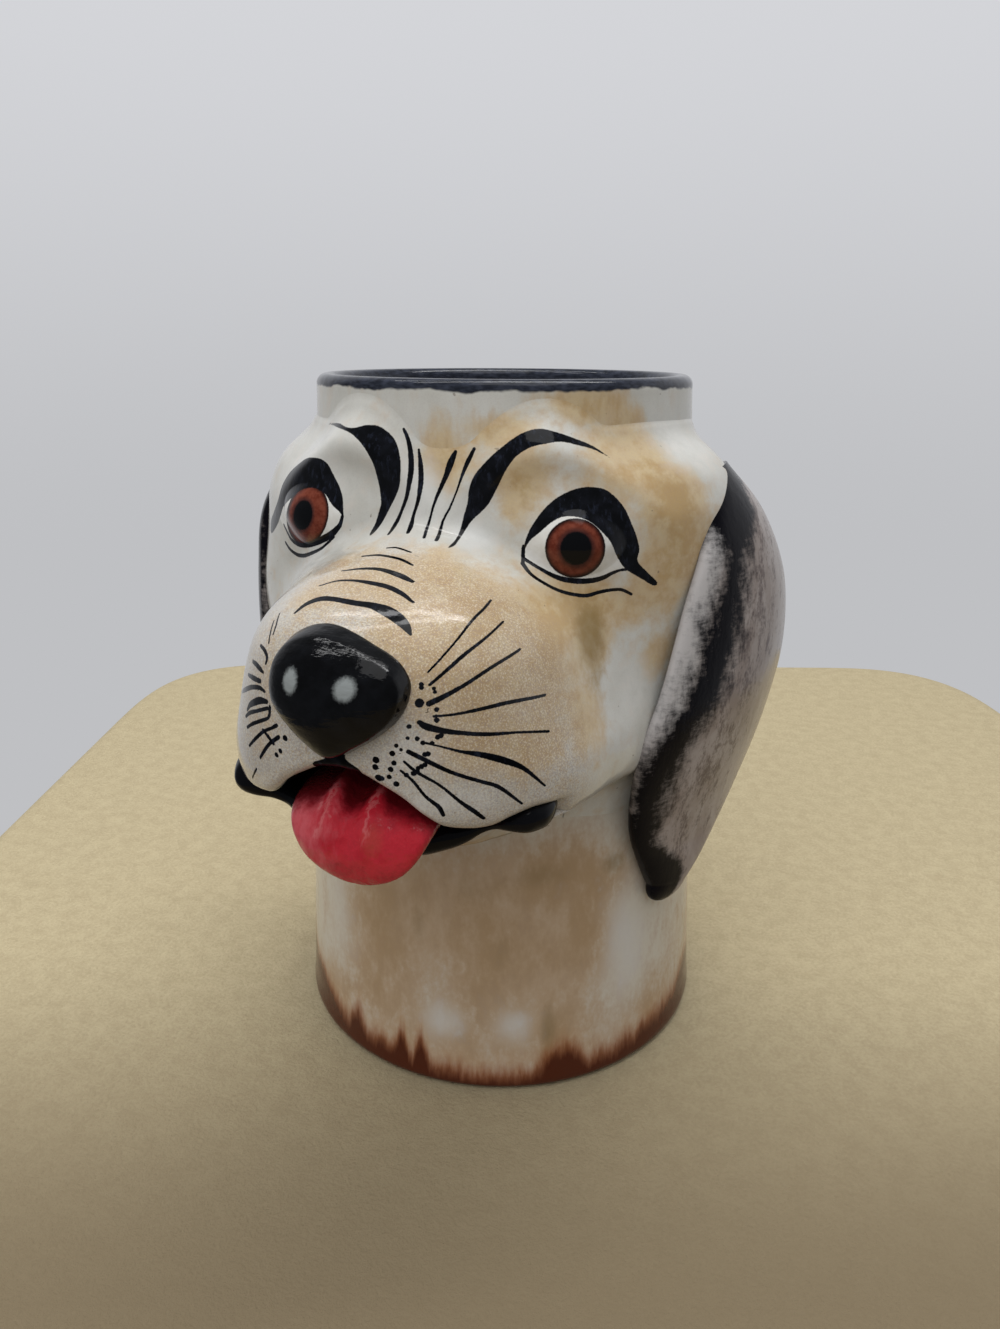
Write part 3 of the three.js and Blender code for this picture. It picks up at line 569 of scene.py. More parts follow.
def weights(patches, angle, z):
    """How much of a colour lies at each point, from soft patches."""
    total = np.zeros(len(z))
    for at, height, wide, high, strength in patches:
        across = (angle - at * DEG + math.pi) % (2 * math.pi) - math.pi
        spot = strength * bell(across * 48 / wide * 0.85) * bell((z - height) / high * 0.85)
        total = np.maximum(total, spot) + 0.35 * np.minimum(total, spot)
    return total


def stroke_sets():
    """Strokes as rows of (place, half width), shared out so that those of one set lie well apart."""
    sets = []
    lines = [on_head(view, 0, line) for view, some in LINES for line in some]
    lines = [route(line, np.linspace(0, 1, 6 * len(line) - 5)) for line in lines]
    dots = [dot for view, some in DOTS for dot in on_head(view, 0, some)]
    for line in lines + [np.array([dot, dot]) for dot in dots]:
        at, widths = line[:, 0] * DEG, line[:, 2] * STROKE_WEIGHT + STROKE_EXTRA
        spots = polar(at, line[:, 1], head_radius(at, line[:, 1]))
        room = widths.max() + 0.95
        for others in sets:
            if all(np.linalg.norm(spots[:, None] - d[None], axis=2).min() > room + r for d, _, r in others):
                others.append((spots, widths, room))
                break
        else:
            sets.append([(spots, widths, room)])
    return sets[:STROKE_SETS]


STROKES = stroke_sets()
SHAPES = {name: on_head(*shape)[:, :2] for name, shape in BLOBS.items()}


def stroke_field(points, angle, strokes):
    """Offset to the nearest stroke's centre line, along and up the surface, and its half width."""
    best = np.full(len(points), -9.0)
    field = np.zeros((len(points), 3))
    field[:, 2] = -4
    round_way = np.stack([np.cos(angle), np.sin(angle), 0 * angle], 1)
    for spots, widths, room in strokes:
        low, high = spots.min(0) - 2, spots.max(0) + 2
        close = np.flatnonzero(np.all((points > low) & (points < high), 1))
        for a, b, wa, wb in zip(spots[:-1], spots[1:], widths[:-1], widths[1:]):
            run = b - a
            t = np.clip((points[close] - a) @ run / max(run @ run, 1e-9), 0, 1)
            away = points[close] - (a + t[:, None] * run)
            far = np.linalg.norm(away, axis=1)
            width = mix(wa, wb, t)
            better = width - far > best[close]
            pick = close[better]
            best[pick] = (width - far)[better]
            along = np.sum(away * round_way[close], 1)[better]
            up = np.sqrt(np.maximum(far[better] ** 2 - along ** 2, 0)) * np.where(away[better, 2] < 0, -1, 1)
            field[pick] = np.stack([along, up, np.where(far < room, width, -4)[better]], 1)
    return field


def shape_field(angle, z, names, radius):
    """Distance inside (above nought) or outside the named filled shapes."""
    best = np.full(len(z), -9.0)
    spots = np.stack([angle * radius, z], 1)
    for name in names:
        shape = closed_curve(SHAPES[name], 5) * [DEG * radius, 1]
        low, high = shape.min(0) - 3, shape.max(0) + 3
        close = np.flatnonzero(np.all((spots > low) & (spots < high), 1))
        spot = spots[close]
        far, inside = np.full(len(spot), 9.0), np.zeros(len(spot), bool)
        for a, b in zip(shape, np.roll(shape, -1, 0)):
            run = b - a
            t = np.clip((spot - a) @ run / max(run @ run, 1e-9), 0, 1)
            far = np.minimum(far, np.linalg.norm(spot - (a + t[:, None] * run), axis=1))
            crosses = (a[1] > spot[:, 1]) != (b[1] > spot[:, 1])
            rise = np.where(crosses, b[1] - a[1], 1)
            inside ^= crosses & (spot[:, 0] < run[0] * (spot[:, 1] - a[1]) / rise + a[0])
        best[close] = np.maximum(best[close], np.where(inside, far, -far))
    return best


def mouth_field(angle, z, radius):
    """Distance inside the black of the lips and the mouth's lining."""
    lip = lip_height(angle)
    face = head_radius(angle, np.maximum(z, lip))
    under = np.maximum(lip + 0.25 - z, face - radius - 3.2)
    return np.minimum(under, 1.5) - 12 * beside_mouth(angle)


def colour_fields(points):
    """Soft colour patches, and the height over the edge of the dark rim and foot bands."""
    angle, z, radius = unrolled(points)
    inside = radius < cup_radius(z) - WALL / 2 - 0.2
    patches = [weights(patches, angle, z) for patches in (TAN_PATCHES, OLIVE_PATCHES, WHITE_PATCHES)]
    spikes = [(at, 0, wide, 1, strength) for at, wide, strength in FOOT_SPIKES]
    rim = z - np.where(inside, RIM_INSIDE, RIM_OUTSIDE)
    foot = 4.5 * weights(spikes, angle, 0 * z) + FOOT_BROWN - z
    return {
        "patches": np.stack(patches, 1) * (1 - 0.9 * inside)[:, None],
        "bands": np.stack([rim, np.where(inside, -9, foot), 0 * z], 1),
    }


def sunk(points):
    """Where each point of a raised pad would show on the head behind it, seen as in the photograph."""
    ray = (points - SIGHT) / np.linalg.norm(points - SIGHT, axis=1)[:, None]
    spots = points.copy()
    for _ in range(5):
        angle, z, radius = unrolled(spots)
        lift = np.clip(radius - head_radius(angle, z), -1, 4)
        facing = -(ray[:, 0] * np.sin(angle) - ray[:, 1] * np.cos(angle))
        spots += ray * (lift / np.maximum(facing, 0.35))[:, None]
    return spots


def eye_offsets(points, row):
    """Offsets across and up from the middle of an iris, square to the line of sight."""
    at, height = row[0] * DEG, row[1]
    middle = polar(at, height, head_radius(at, height))
    ahead = (middle - SIGHT) / np.linalg.norm(middle - SIGHT)
    right = np.array([ahead[1], -ahead[0], 0]) / math.hypot(ahead[0], ahead[1])
    return (points - middle) @ right, (points - middle) @ np.cross(right, ahead)


def face_fields(points, on_pad=False):
    fields = colour_fields(points)
    angle, z, radius = unrolled(sunk(points) if on_pad else points)
    skin = head_radius(angle, z)
    outside = (np.abs(radius - skin) < 1.5) | on_pad
    flat = polar(angle, z, skin)
    for number, strokes in enumerate(STROKES):
        values = stroke_field(flat, angle, strokes)
        values[~outside, 2] = -4
        fields["stroke_%d" % number] = values
    ink = shape_field(angle, z, ["brow_l", "lid_l", "brow_r", "lid_r"], 47.0)
    ink = np.maximum(ink, shape_field(angle, z, ["nose", "philtrum"], 77.0))
    fields["ink"] = np.where(outside, ink, -9)
    fields["mouth"] = mouth_field(angle, z, radius)
    opening = shape_field(angle, z, ["open_l", "open_r"], 48.0)
    left, right = IRISES
    side = angle > 0
    across, up = [np.where(side, a, b) for a, b in zip(eye_offsets(points, left), eye_offsets(points, right))]
    sizes = [np.where(side, a, b) for a, b in zip(left[2:], right[2:])]
    wide, high, slant, shift, pupil_wide, pupil_high = sizes
    across = across - slant * up
    fields["eye"] = np.stack([across / wide, up / high, opening], 1)
    fields["pupil"] = np.stack([(across - shift) / pupil_wide, up / pupil_high, 0 * up], 1)
    return fields


def pad_fields(points):
    return face_fields(points, True)


# Pieces

def cup_body():
    """Outside and inside of the cup wall, turned by hand: very slightly uneven."""
    lip = WALL / 2
    foot_turn = np.linspace(-90, 0, 7) * DEG
    lip_turn = np.linspace(0, 180, 15) * DEG
    out_z = np.linspace(FOOT_ROUND, CUP_HEIGHT - lip, 190)[1:-1]
    in_z = np.linspace(CUP_HEIGHT - lip, FLOOR + COVE, 60)[1:]
    cove = np.linspace(0, 70, 9)[1:] * DEG
    lip_mid = cup_radius(CUP_HEIGHT - lip) - lip
    foot_mid = cup_radius(FOOT_ROUND) - FOOT_ROUND
    radius = np.concatenate([
        [foot_mid - 3], foot_mid + FOOT_ROUND * np.cos(foot_turn), cup_radius(out_z),
        lip_mid + lip * np.cos(lip_turn), cup_radius(in_z) - WALL,
        cup_radius(FLOOR + COVE) - WALL - COVE * (1 - np.cos(cove)),
    ])
    z = np.concatenate([
        [0], FOOT_ROUND + FOOT_ROUND * np.sin(foot_turn), out_z,
        CUP_HEIGHT - lip + lip * np.sin(lip_turn), in_z, FLOOR + COVE - COVE * np.sin(cove),
    ])
    angle = around(288)[:, None]
    wave = 0.10 * np.sin(2 * angle + 0.7) * np.sin(z / 23) + 0.06 * np.sin(5 * angle + z / 9)
    inside = ramp(1, 6, z) * ramp(0, 4, CUP_HEIGHT - z)
    grid = polar(angle, z, radius - inside * (0.16 + wave))
    make_piece("cup_body", "cup_wall", grid, colour_fields, wrap_rows=True)


def cup_base():
    """The floor slab: glazed above with a soft rise to the wall, bare clay below."""
    edge, rise = cup_radius(0) - WALL, 6
    radius = edge - rise + rise * np.sin(np.linspace(0, 60, 8) * DEG)[1:]
    radius = np.concatenate([np.linspace(0, edge - rise, 24), radius])
    top = FLOOR - 0.2 + 2.4 * (1 - np.cos(np.maximum((radius - (edge - rise)) / rise, 0)))
    under = np.where(radius < edge - 4, 0.5, 0.0)
    radius = np.concatenate([radius, [edge - 0.3], radius[::-1]])
    grid = polar(around(128)[:, None], np.concatenate([top, [2.0], under[::-1]]), radius)
    make_piece("cup_base", "cup_floor", grid, colour_fields, wrap_rows=True)


def face_columns():
    """Column angles, closer together where the brush strokes are."""
    fine = np.linspace(-FACE_ANGLE, FACE_ANGLE, 6001)
    steps = [np.diff(travelled(polar(fine, z, head_radius(fine, z)))) for z in (84.0, 121.0)]
    middle = (fine[1:] + fine[:-1]) / 2
    busy = ramp(-32 * DEG, -26 * DEG, middle) * ramp(66 * DEG, 58 * DEG, middle)
    count = np.concatenate([[0], np.cumsum(np.maximum(*steps) / mix(0.8, 0.38, busy))])
    return np.interp(np.linspace(0, count[-1], int(count[-1]) + 1), count, fine)


def skin_radius(angle, z):
    """The face's outside, rolled in at the lip and sunk into the cup where it dies out."""
    over = np.clip((lip_height(angle) - z) / LIP_ROUND + 1, 0, 1)
    tuck = LIP_ROUND * (1 - np.sqrt(1 - over * over)) * (1 - beside_mouth(angle))
    cheek = FAR_CHEEK * bell((angle + 64 * DEG) / (19 * DEG)) * bell((z - 99) / np.where(z > 99, 15.5, 9.0))
    radius, cup = head_radius(angle, z) - tuck + cheek, cup_radius(z)
    return np.maximum(radius, cup - 0.3) - 0.3 * ramp(0.35, 0.0, radius - cup)


def face_shell():
    rings = []
    for angle in face_columns():
        # the brows carry the top edge up with them
        offset = (abs(angle - BROW_SKEW) - BROW_ANGLE) / BROW_SPREAD
        top = TOP + CROWN * bell(offset) + 4.4
        lip = lip_height(angle) + LIP_ROUND
        bottom = mix(lip_height(angle), BOTTOM - 4, beside_mouth(angle))
        fine = np.linspace(lip, top, 400)
        run = travelled(np.stack([skin_radius(angle, fine), fine], 1))
        high = np.interp(np.linspace(0, run[-1], 190), run, fine)
        roll = lip - (lip - bottom) * np.sin(np.linspace(90, 0, 36) * DEG)
        z = np.concatenate([roll[:-1], high])
        outside = polar(angle, z, skin_radius(angle, z))
        back = np.concatenate([np.linspace(1, 0, 19) ** 1.5 * (top - bottom) + bottom, [bottom]])
        inward = np.minimum(head_radius(angle, back) - FACE_WALL, head_radius(angle, back + FACE_WALL))
        lining = np.maximum(cup_radius(back) - 0.4, inward)
        lining[-1] = mix(lining[-2], skin_radius(angle, bottom), 0.5)
        rings.append(np.concatenate([outside, polar(angle, back, lining)]))
    make_piece("face_shell", "face_mask", np.array(rings), face_fields)


def pad(name, node, outline, profile, rings=40, fields=None):
    """A pad whose edge grows out of the head's surface; its profile is a height for each share outward."""
    share = np.cos(np.linspace(0, 90, rings) * DEG) ** 0.8
    share = np.concatenate([[1.03, 1.0], share[1:]])[:, None, None]
    spots = mix(outline.mean(0), outline, share)
    angle, z = spots[..., 0], spots[..., 1]
    lift = profile(np.clip(share[..., 0], 0, 1))
    lift[0] = -0.6
    make_piece(name, node, polar(angle, z, head_radius(angle, z) + lift), fields)


def nose_bulb():
    def profile(share):
        return 1.2 * ramp(1.0, 0.9, share) + NOSE_DOME * (1 - share ** 2.3) ** 0.5

    pad("nose_bulb", "nose", closed_curve(SHAPES["nose"], 7) * [DEG, 1], profile)


def eye_pad(name, node, side):
    def profile(share):
        return (EYE_DOME - 0.3) * (1 - share * share) ** 1.3

    turn = around(144)
    angle = side * EYE_ANGLE + EYE_SKEW + EYE_HALF_W * np.cos(turn) / DEPTH
    z = EYE_Z - side * EYE_TILT + EYE_HALF_H * power(np.sin(turn), 1.2)
    pad(name, node, np.stack([angle, z], 1), profile, 48, pad_fields)


def jaw_fields(points):
    """Black paint on the lip: how far above its lower edge, fading out past its rounded end."""
    angle, z, _ = unrolled(points)
    side = np.abs(angle) / DEG
    edge = np.interp(side, JAW_LINE[:, 0], JAW_LINE[:, 2]) - 2.0 * bell((angle / DEG + 20) / 5)
    return {**colour_fields(points), "mouth": z - edge + 0.25 - 3 * np.maximum(side - 28.3, 0)}


def jaw_chin():
    """Black-lipped lower jaw; its chin runs down to the neck and on into the cheeks."""
    rings = []
    for side in np.linspace(-36, 36, 181):
        angle, off = side * DEG, abs(side)
        top, edge, foot = [np.interp(off, *curve) for curve in JAW_CURVES]
        cheek = ramp(16, 24.5, off)
        past = np.clip((off - 26.2) / 2.4, 0, 1)
        reach = mix(superellipse(angle, JAW_HALF, JAW_REACH, 2.8), head_radius(angle, 78.0) + 0.75, cheek)
        reach -= 3.2 * (1 - np.sqrt(1 - min(past, 0.999) ** 2)) + 0.8 * max(off - 28.6, 0)
        # thinner beside the tongue, and lower and fuller on the dog's right
        reach -= 1.1 * bell((off - 14) / 5.5) - 1.3 * bell((side + 24.5) / 4.5)
        edge, top = edge - 2.0 * bell((side + 20) / 5), top - 1.0 * bell((side + 20) / 5)
        half = (top - edge) / 2
        turn = np.linspace(90, -90, 15) * DEG
        shelf = np.stack([np.linspace(cup_radius(top) - 0.5, reach - half, 12)[:-1], np.full(11, top)], 1)
        lip = np.stack([reach - half + half * np.cos(turn), (top + edge) / 2 + half * np.sin(turn)], 1)
        t = np.linspace(0, 1, 31)[1:, None]
        bend = np.array([mix(cup_radius(foot), reach, 0.35), mix(foot, edge, 0.45)])
        end = np.array([cup_radius(foot - 3) - 0.4, foot - 3])
        chin = (1 - t) ** 2 * lip[-1] + 2 * t * (1 - t) * bend + t * t * end
        down = edge - (edge - (foot - 3)) * t[:, 0]
        skin = head_radius(angle, down) + mix(0.12, -1.2, ramp(31, 35.5, off))
        skin = mix(lip[-1, 0], skin, ramp(0, 0.1, t[:, 0]))
        chin = mix(chin, np.stack([skin, down], 1), cheek)
        profile = np.vstack([shelf, lip, chin])
        rings.append(polar(angle, profile[:, 1], profile[:, 0]))
    make_piece("jaw_chin", "lower_jaw", capped(np.array(rings)), jaw_fields)


def tongue_blade():
    flat = JAW_TOP + JAW_RISE / 2 + 0.3 + TONGUE_THICK / 2
    reach, fall = mix(RIM, TONGUE_REACH, TONGUE_LINE[:, 0]), mix(flat, TONGUE_TIP, TONGUE_LINE[:, 1])
    line = np.stack([np.full(len(reach), TONGUE_OFFSET), -reach, fall], 1)
    share = np.linspace(0, 1, 91)
    middle, along = even_route(line, share)
    tip = np.clip((share - 0.62) / 0.38, 0, 1)
    taper = np.sqrt(1 - 0.992 * tip ** 2.4)
    width = TONGUE_HALF * mix(0.84, 1, ramp(0, 1, 2 * share)) * taper
    half = TONGUE_THICK / 2 * mix(1, 0.8, share) * np.sqrt(taper)
    up = np.stack([np.zeros(91), along[:, 2], -along[:, 1]], 1)
    turn = around(96)
    across, lift = power(np.cos(turn), 2 / 2.5), power(np.sin(turn), 2 / 2.5)
    folds = 1.6 * (bell((across + 0.38) / 0.13) + bell((across - 0.20) / 0.14))
    folds -= 1.3 * bell((across + 0.10) / 0.14)
    folds = folds * (np.sin(turn) > 0) * (ramp(0.95, 0.6, share) * ramp(0.2, 0.4, share))[:, None]
    grid = middle[:, None] + up[:, None] * (half[:, None] + folds)[..., None] * lift[:, None]
    grid[..., 0] += width[:, None] * across
    make_piece("tongue_blade", "tongue", capped(grid))


def ear_edge(table, side, swing, stand):
    turn = side * swing * table[:, 2] ** 2
    x = side * (EAR_REACH * table[:, 0] + stand * np.sin(math.pi * table[:, 2]))
    y = EAR_WIDTH * table[:, 1]
    x, y = x * np.cos(turn) - y * np.sin(turn), x * np.sin(turn) + y * np.cos(turn)
    return np.stack([x, y, mix(EAR_TOP, EAR_TIP, table[:, 2])], 1)


def ear_flap(name, node, side, swing=0.0, stand=0.0):
    share = np.linspace(0, 1, 141)
    front = route(ear_edge(EAR_FRONT, side, swing, stand), share)
    back = route(ear_edge(EAR_BACK, side, swing, 0.0), share)
    middle, chord = (front + back) / 2, back - front
    last = np.clip((share - 0.93) / 0.07, 0, 1)[:, None]
    chord = np.where(last > 0, chord[130] * np.sqrt(1 - 0.98 * last * last), chord)
    front = middle - chord / 2
    fall = np.gradient(front, axis=0) + np.gradient(back, axis=0)
    out = np.cross(chord, fall)
    out *= (np.sign(out[:, 0]) * side / np.linalg.norm(out, axis=1))[:, None]
    tip = np.clip((share - 0.8) / 0.2, 0, 1)
    half = EAR_THICK / 2 * np.sqrt(1 - 0.985 * tip * tip)
    bulge = (EAR_BULGE - 0.4 * stand) * np.sin(math.pi * np.minimum(mix(0.15, 1.2, share), 1))
    turn = around(120)
    across = 0.5 - power(np.cos(turn), 2 / 2.67) / 2
    lift = half[:, None] * power(np.sin(turn), 2 / 2.67) + bulge[:, None] * np.sin(across * math.pi)
    grid = front[:, None] + chord[:, None] * across[:, None] + out[:, None] * lift[..., None]

    def fields(points):
        """How far down the ear, how far back from the painted band, and how far it faces outward."""
        down = np.concatenate([np.zeros(4), share, np.ones(4)])[:, None] + 0 * across
        over = across + (0.14 - 0.11 * down if side < 0 else 0 * down)
        return {"flap": np.stack([down, over, 0 * down + np.sin(turn)], -1).reshape(-1, 3)}

    make_piece(name, node, capped(grid), fields)


def handle_strap():
    """Pulled strap handle, flared where it is luted to the cup."""
    top, bottom = HANDLE_TOP, HANDLE_BOTTOM
    first = mix(top, bottom, 0.04)
    line = [[0, cup_radius(first) - 1.2, first]]
    line += [[0, cup_radius(top) + HANDLE_REACH * out, mix(top, bottom, down)] for out, down in HANDLE_LINE]
    line += [[0, cup_radius(bottom) - 1.2, bottom]]
    share = np.linspace(0, 1, 131)
    middle, along = even_route(line, share)
    turn = around(64)
    side = np.stack([np.zeros(131), -along[:, 2], along[:, 1]], 1)
    flare = 1 + 0.35 * bell(share / 0.06) + 0.35 * bell((1 - share) / 0.06)
    thick = HANDLE_T / 2 * (0.6 + 0.4 * flare[:, None]) * power(np.sin(turn), 0.9)
    grid = middle[:, None] + side[:, None] * thick[..., None]
    grid[..., 0] += HANDLE_W / 2 * flare[:, None] * np.cos(turn)
    make_piece("handle_strap", "handle", grid, colour_fields)


# Nodes

def colour(code):
    """A colour written as it looks, turned into light."""
    parts = [int(code[i:i + 2], 16) / 255 for i in (0, 2, 4)]
    return (*[c / 12.92 if c <= 0.04045 else ((c + 0.055) / 1.055) ** 2.4 for c in parts], 1)


class Value:
    """What a node gives at each place, with plain arithmetic."""

    def __init__(self, nodes, socket):
        self.nodes, self.socket = nodes, socket

    def __add__(self, other):
        return self.nodes.math("ADD", self, other)

    def __mul__(self, other):
        return self.nodes.math("MULTIPLY", self, other)

    def __sub__(self, other):
        return self.nodes.math("SUBTRACT", self, other)

    def __rsub__(self, other):
        return self.nodes.math("SUBTRACT", other, self)

    def __abs__(self):
        return self.nodes.math("ABSOLUTE", self)

    __radd__, __rmul__ = __add__, __mul__

    def ramp(self, low, high):
        """Rises smoothly from nought at low to one at high, which may lie below it."""
        node = self.nodes.add("ShaderNodeMapRange", interpolation_type="SMOOTHSTEP")
        self.nodes.feed(node.inputs["Value"], self)
        node.inputs["From Min"].default_value, node.inputs["From Max"].default_value = low, high
        return Value(self.nodes, node.outputs["Result"])

    def parts(self):
        node = self.nodes.add("ShaderNodeSeparateXYZ")
        self.nodes.feed(node.inputs[0], self)
        return [Value(self.nodes, socket) for socket in node.outputs]


class Nodes:
    """A node tree that grows step by step; it is fed values, plain numbers and colour codes."""

    def __init__(self, tree):
        self.tree = tree

    def add(self, kind, **settings):
        node = self.tree.nodes.new(kind)
        for key, value in settings.items():
            setattr(node, key, value)
        return node

    def get(self, kind, output, **settings):
        return Value(self, self.add(kind, **settings).outputs[output])

    def feed(self, socket, value):
        if isinstance(value, Value):
            self.tree.links.new(value.socket, socket)
        else:
            socket.default_value = colour(value) if isinstance(value, str) else value

    def math(self, kind, a, b=0.0):
        node = self.add("ShaderNodeMath", operation=kind)
        self.feed(node.inputs[0], a)
        self.feed(node.inputs[1], b)
        return Value(self, node.outputs[0])

    def most(self, a, b):
        return self.math("MAXIMUM", a, b)

    def mix(self, share, a, b):
        """A colour that share of the way from a to b."""
        node = self.add("ShaderNodeMix", data_type="RGBA")
        for number, value in ((0, share), (6, a), (7, b)):
            self.feed(node.inputs[number], value)
        return Value(self, node.outputs[2])


class Paint(Nodes):
    """A glaze; its places and the heights of its bumps are in millimetres."""

    def __init__(self, name):
        self.material = bpy.data.materials.new(name)
        self.material.use_nodes = True
        super().__init__(self.material.node_tree)
        self.place = self.vector("SCALE", self.get("ShaderNodeTexCoord", "Object"), 1000.0)
        self.x, self.y, self.z = self.place.parts()

    def vector(self, kind, a, b):
        node = self.add("ShaderNodeVectorMath", operation=kind)
        self.feed(node.inputs[0], a)
        self.feed(node.inputs["Scale" if kind == "SCALE" else 1], b)
        return Value(self, node.outputs["Vector"])

    def length(self, across, up):
        flat = self.add("ShaderNodeCombineXYZ")
        self.feed(flat.inputs[0], across)
        self.feed(flat.inputs[1], up)
        node = self.add("ShaderNodeVectorMath", operation="LENGTH")
        self.tree.links.new(flat.outputs[0], node.inputs[0])
        return Value(self, node.outputs["Value"])

    def noise(self, per_mm, detail=3.0, rough=0.5, stretch=None, seed=0.0):
        """Noise about nought, with that many cells to a millimetre."""
        place = self.vector("MULTIPLY", self.place, stretch) if stretch else self.place
        if seed:
            place = self.vector("ADD", place, (seed, seed * 0.7, -seed))
        node = self.add("ShaderNodeTexNoise")
        self.feed(node.inputs["Vector"], place)
        for name, value in (("Scale", per_mm), ("Detail", detail), ("Roughness", rough)):
            node.inputs[name].default_value = value
        return Value(self, node.outputs["Fac"]) - 0.5

    def field(self, name, output="Vector"):
        """What is kept under that name on each point."""
        return self.get("ShaderNodeAttribute", output, attribute_type="GEOMETRY", attribute_name=name)

    def finish(self, tint, rough, bump, depth, gloss=0.36):
        """Clear glaze over a colour."""
        shader = self.tree.nodes["Principled BSDF"]
        self.feed(shader.inputs["Base Color"], tint)
        self.feed(shader.inputs["Roughness"], rough)
        self.feed(shader.inputs["Specular IOR Level"], gloss)
        shader.inputs["IOR"].default_value = 1.45
        node = self.add("ShaderNodeBump")
        node.inputs["Strength"].default_value = 1.0
        node.inputs["Distance"].default_value = depth * MM
        self.feed(node.inputs["Height"], bump)
        self.tree.links.new(node.outputs["Normal"], shader.inputs["Normal"])
        return self.material


# Glazes

def sponged(paint, stretch=None):
    """Cream glaze with sponged tan, olive and white, as on all the body."""
    broad, middle = paint.noise(0.10, 3, 0.55, stretch), paint.noise(0.36, 4, 0.58, stretch, 31)
    fine, grain = paint.noise(1.5, 3, 0.6, seed=7), paint.noise(3.2, 2, 0.6, seed=3)
    tan, olive, white = paint.field("patches").parts()
    cream = paint.mix(broad.ramp(-0.2, 0.2), "d6d5ce", "cac8bf")
    cream = paint.mix(middle.ramp(-0.05, 0.3), cream, "cdc4b6")
    tan = tan - 0.6 * white + (broad + 0.8 * middle + 0.22 * fine)
    wash = paint.mix(middle.ramp(-0.2, 0.2), "d0b98f", "c9b08c")
    tint = paint.mix(0.9 * tan.ramp(0.05, 0.70), cream, wash)
    deep = tan + 0.8 * middle + 0.6 * broad + 0.2 * fine
    ochre = paint.mix(broad.ramp(-0.12, 0.14), "bd9b62", "b8965f")
    tint = paint.mix(0.68 * deep.ramp(0.6, 1.3), tint, ochre)
    # the muzzle is speckled
    muzzle = paint.y.ramp(-46, -58)
    tint = paint.mix(grain.ramp(-0.03, 0.13) * (0.42 * muzzle + 0.10), tint, "a7979b")
    ochres = paint.noise(2.6, 2, 0.6, seed=51).ramp(0.0, 0.16)
    tint = paint.mix(0.5 * (ochres * muzzle), tint, "c2a268")
    tint = paint.mix(0.26 * muzzle, tint, "8d7d69")
    tint = paint.mix(0.55 * (grain.ramp(-0.02, -0.14) * muzzle), tint, "ddd5c5")
    murk = olive + 0.4 * broad + 0.5 * middle
    tint = paint.mix(0.75 * murk.ramp(0.15, 0.9), tint, "8c7340")
    tint = paint.mix(0.8 * (white + 0.9 * middle).ramp(0.25, 0.95), tint, "e2e2de")
    specks = paint.noise(0.8, 1, 0.5, seed=77).ramp(0.285, 0.31)
    return paint.mix(0.5 * specks, tint, "6b5a4a")


def banded(paint, tint):
    """The brushed dark band of the rim and the brown that runs up from the foot."""
    rim, foot, _ = paint.field("bands").parts()
    black = (rim + 2.2 * paint.noise(0.16, 3, 0.55, seed=13)).ramp(-0.2, 0.35)
    dark = paint.mix(paint.noise(0.5, 3, 0.6, (1, 1, 3)).ramp(-0.2, 0.25), "1c1f27", "3a3e4a")
    tint = paint.mix(black, tint, dark)
    streak, soft = paint.noise(0.6, 4, 0.62, (1, 1, 0.16), 5), paint.noise(0.2, 3, 0.6, (1, 1, 0.3), 9)
    climb = foot + 5.0 * streak + 4.0 * soft
    tint = paint.mix(0.5 * climb.ramp(-8.0, 0.5), tint, "b58a5e")
    tint = paint.mix(0.85 * climb.ramp(-4.5, 0.6), tint, "8a4a26")
    return paint.mix(0.95 * climb.ramp(-2.0, 2.4), tint, "481a0d")


def washed(paint):
    """The thin pinkish tan wash of the neck, with soft pale runs."""
    broad, middle = paint.noise(0.07, 3, 0.55, (1, 1, 0.6), 63), paint.noise(0.25, 4, 0.6, (1, 1, 0.5), 37)
    fine = paint.noise(0.9, 4, 0.65, (1, 1, 0.7), 19)
    tan, olive, white = paint.field("patches").parts()
    loose = 0.8 * broad + 1.2 * middle + 0.9 * fine
    tint = paint.mix((tan + loose).ramp(-0.05, 0.95), "cfc9bd", "bca58b")
    tint = paint.mix(0.7 * (middle + 0.6 * fine).ramp(0.0, 0.35), tint, "bfaea2")
    brown = tan + 2.0 * broad + 1.8 * middle + 0.8 * fine
    tint = paint.mix(0.62 * brown.ramp(0.6, 1.5), tint, "a48761")
    tint = paint.mix(0.6 * (olive + 0.5 * middle).ramp(0.15, 0.9), tint, "7f6c48")
    milk = white + 1.3 * middle + 0.5 * fine
    return paint.mix(0.75 * milk.ramp(0.2, 1.1), tint, "d3d2cf")


def peel(paint):
    """The faint unevenness of thick glaze."""
    return paint.noise(0.22, 2) + 0.25 * paint.noise(0.9, 2, seed=4)


def body_material():
    paint = Paint("body_glaze")
    tint = paint.mix(paint.z.ramp(74, 60), sponged(paint, (1, 1, 0.4)), washed(paint))
    return paint.finish(banded(paint, tint), 0.1 + 0.08 * paint.noise(0.3, 2), peel(paint), 0.09)


def iris(paint, bristle, out):
    """Red brown, darker at its edge, with a soft-edged black pupil."""
    tint = paint.mix(paint.noise(0.9, 3, 0.6, seed=2).ramp(-0.2, 0.2), "7d4030", "632a1c")
    tint = paint.mix(out.ramp(0.80, 0.99), tint, "170b0b")
    across, up, _ = paint.field("pupil").parts()
    core = paint.length(across, up) + 0.10 * bristle
    tint = paint.mix(0.7 * core.ramp(1.28, 0.96), tint, "2a1a1c")
    return paint.mix(core.ramp(1.0, 0.86), tint, "07080b")


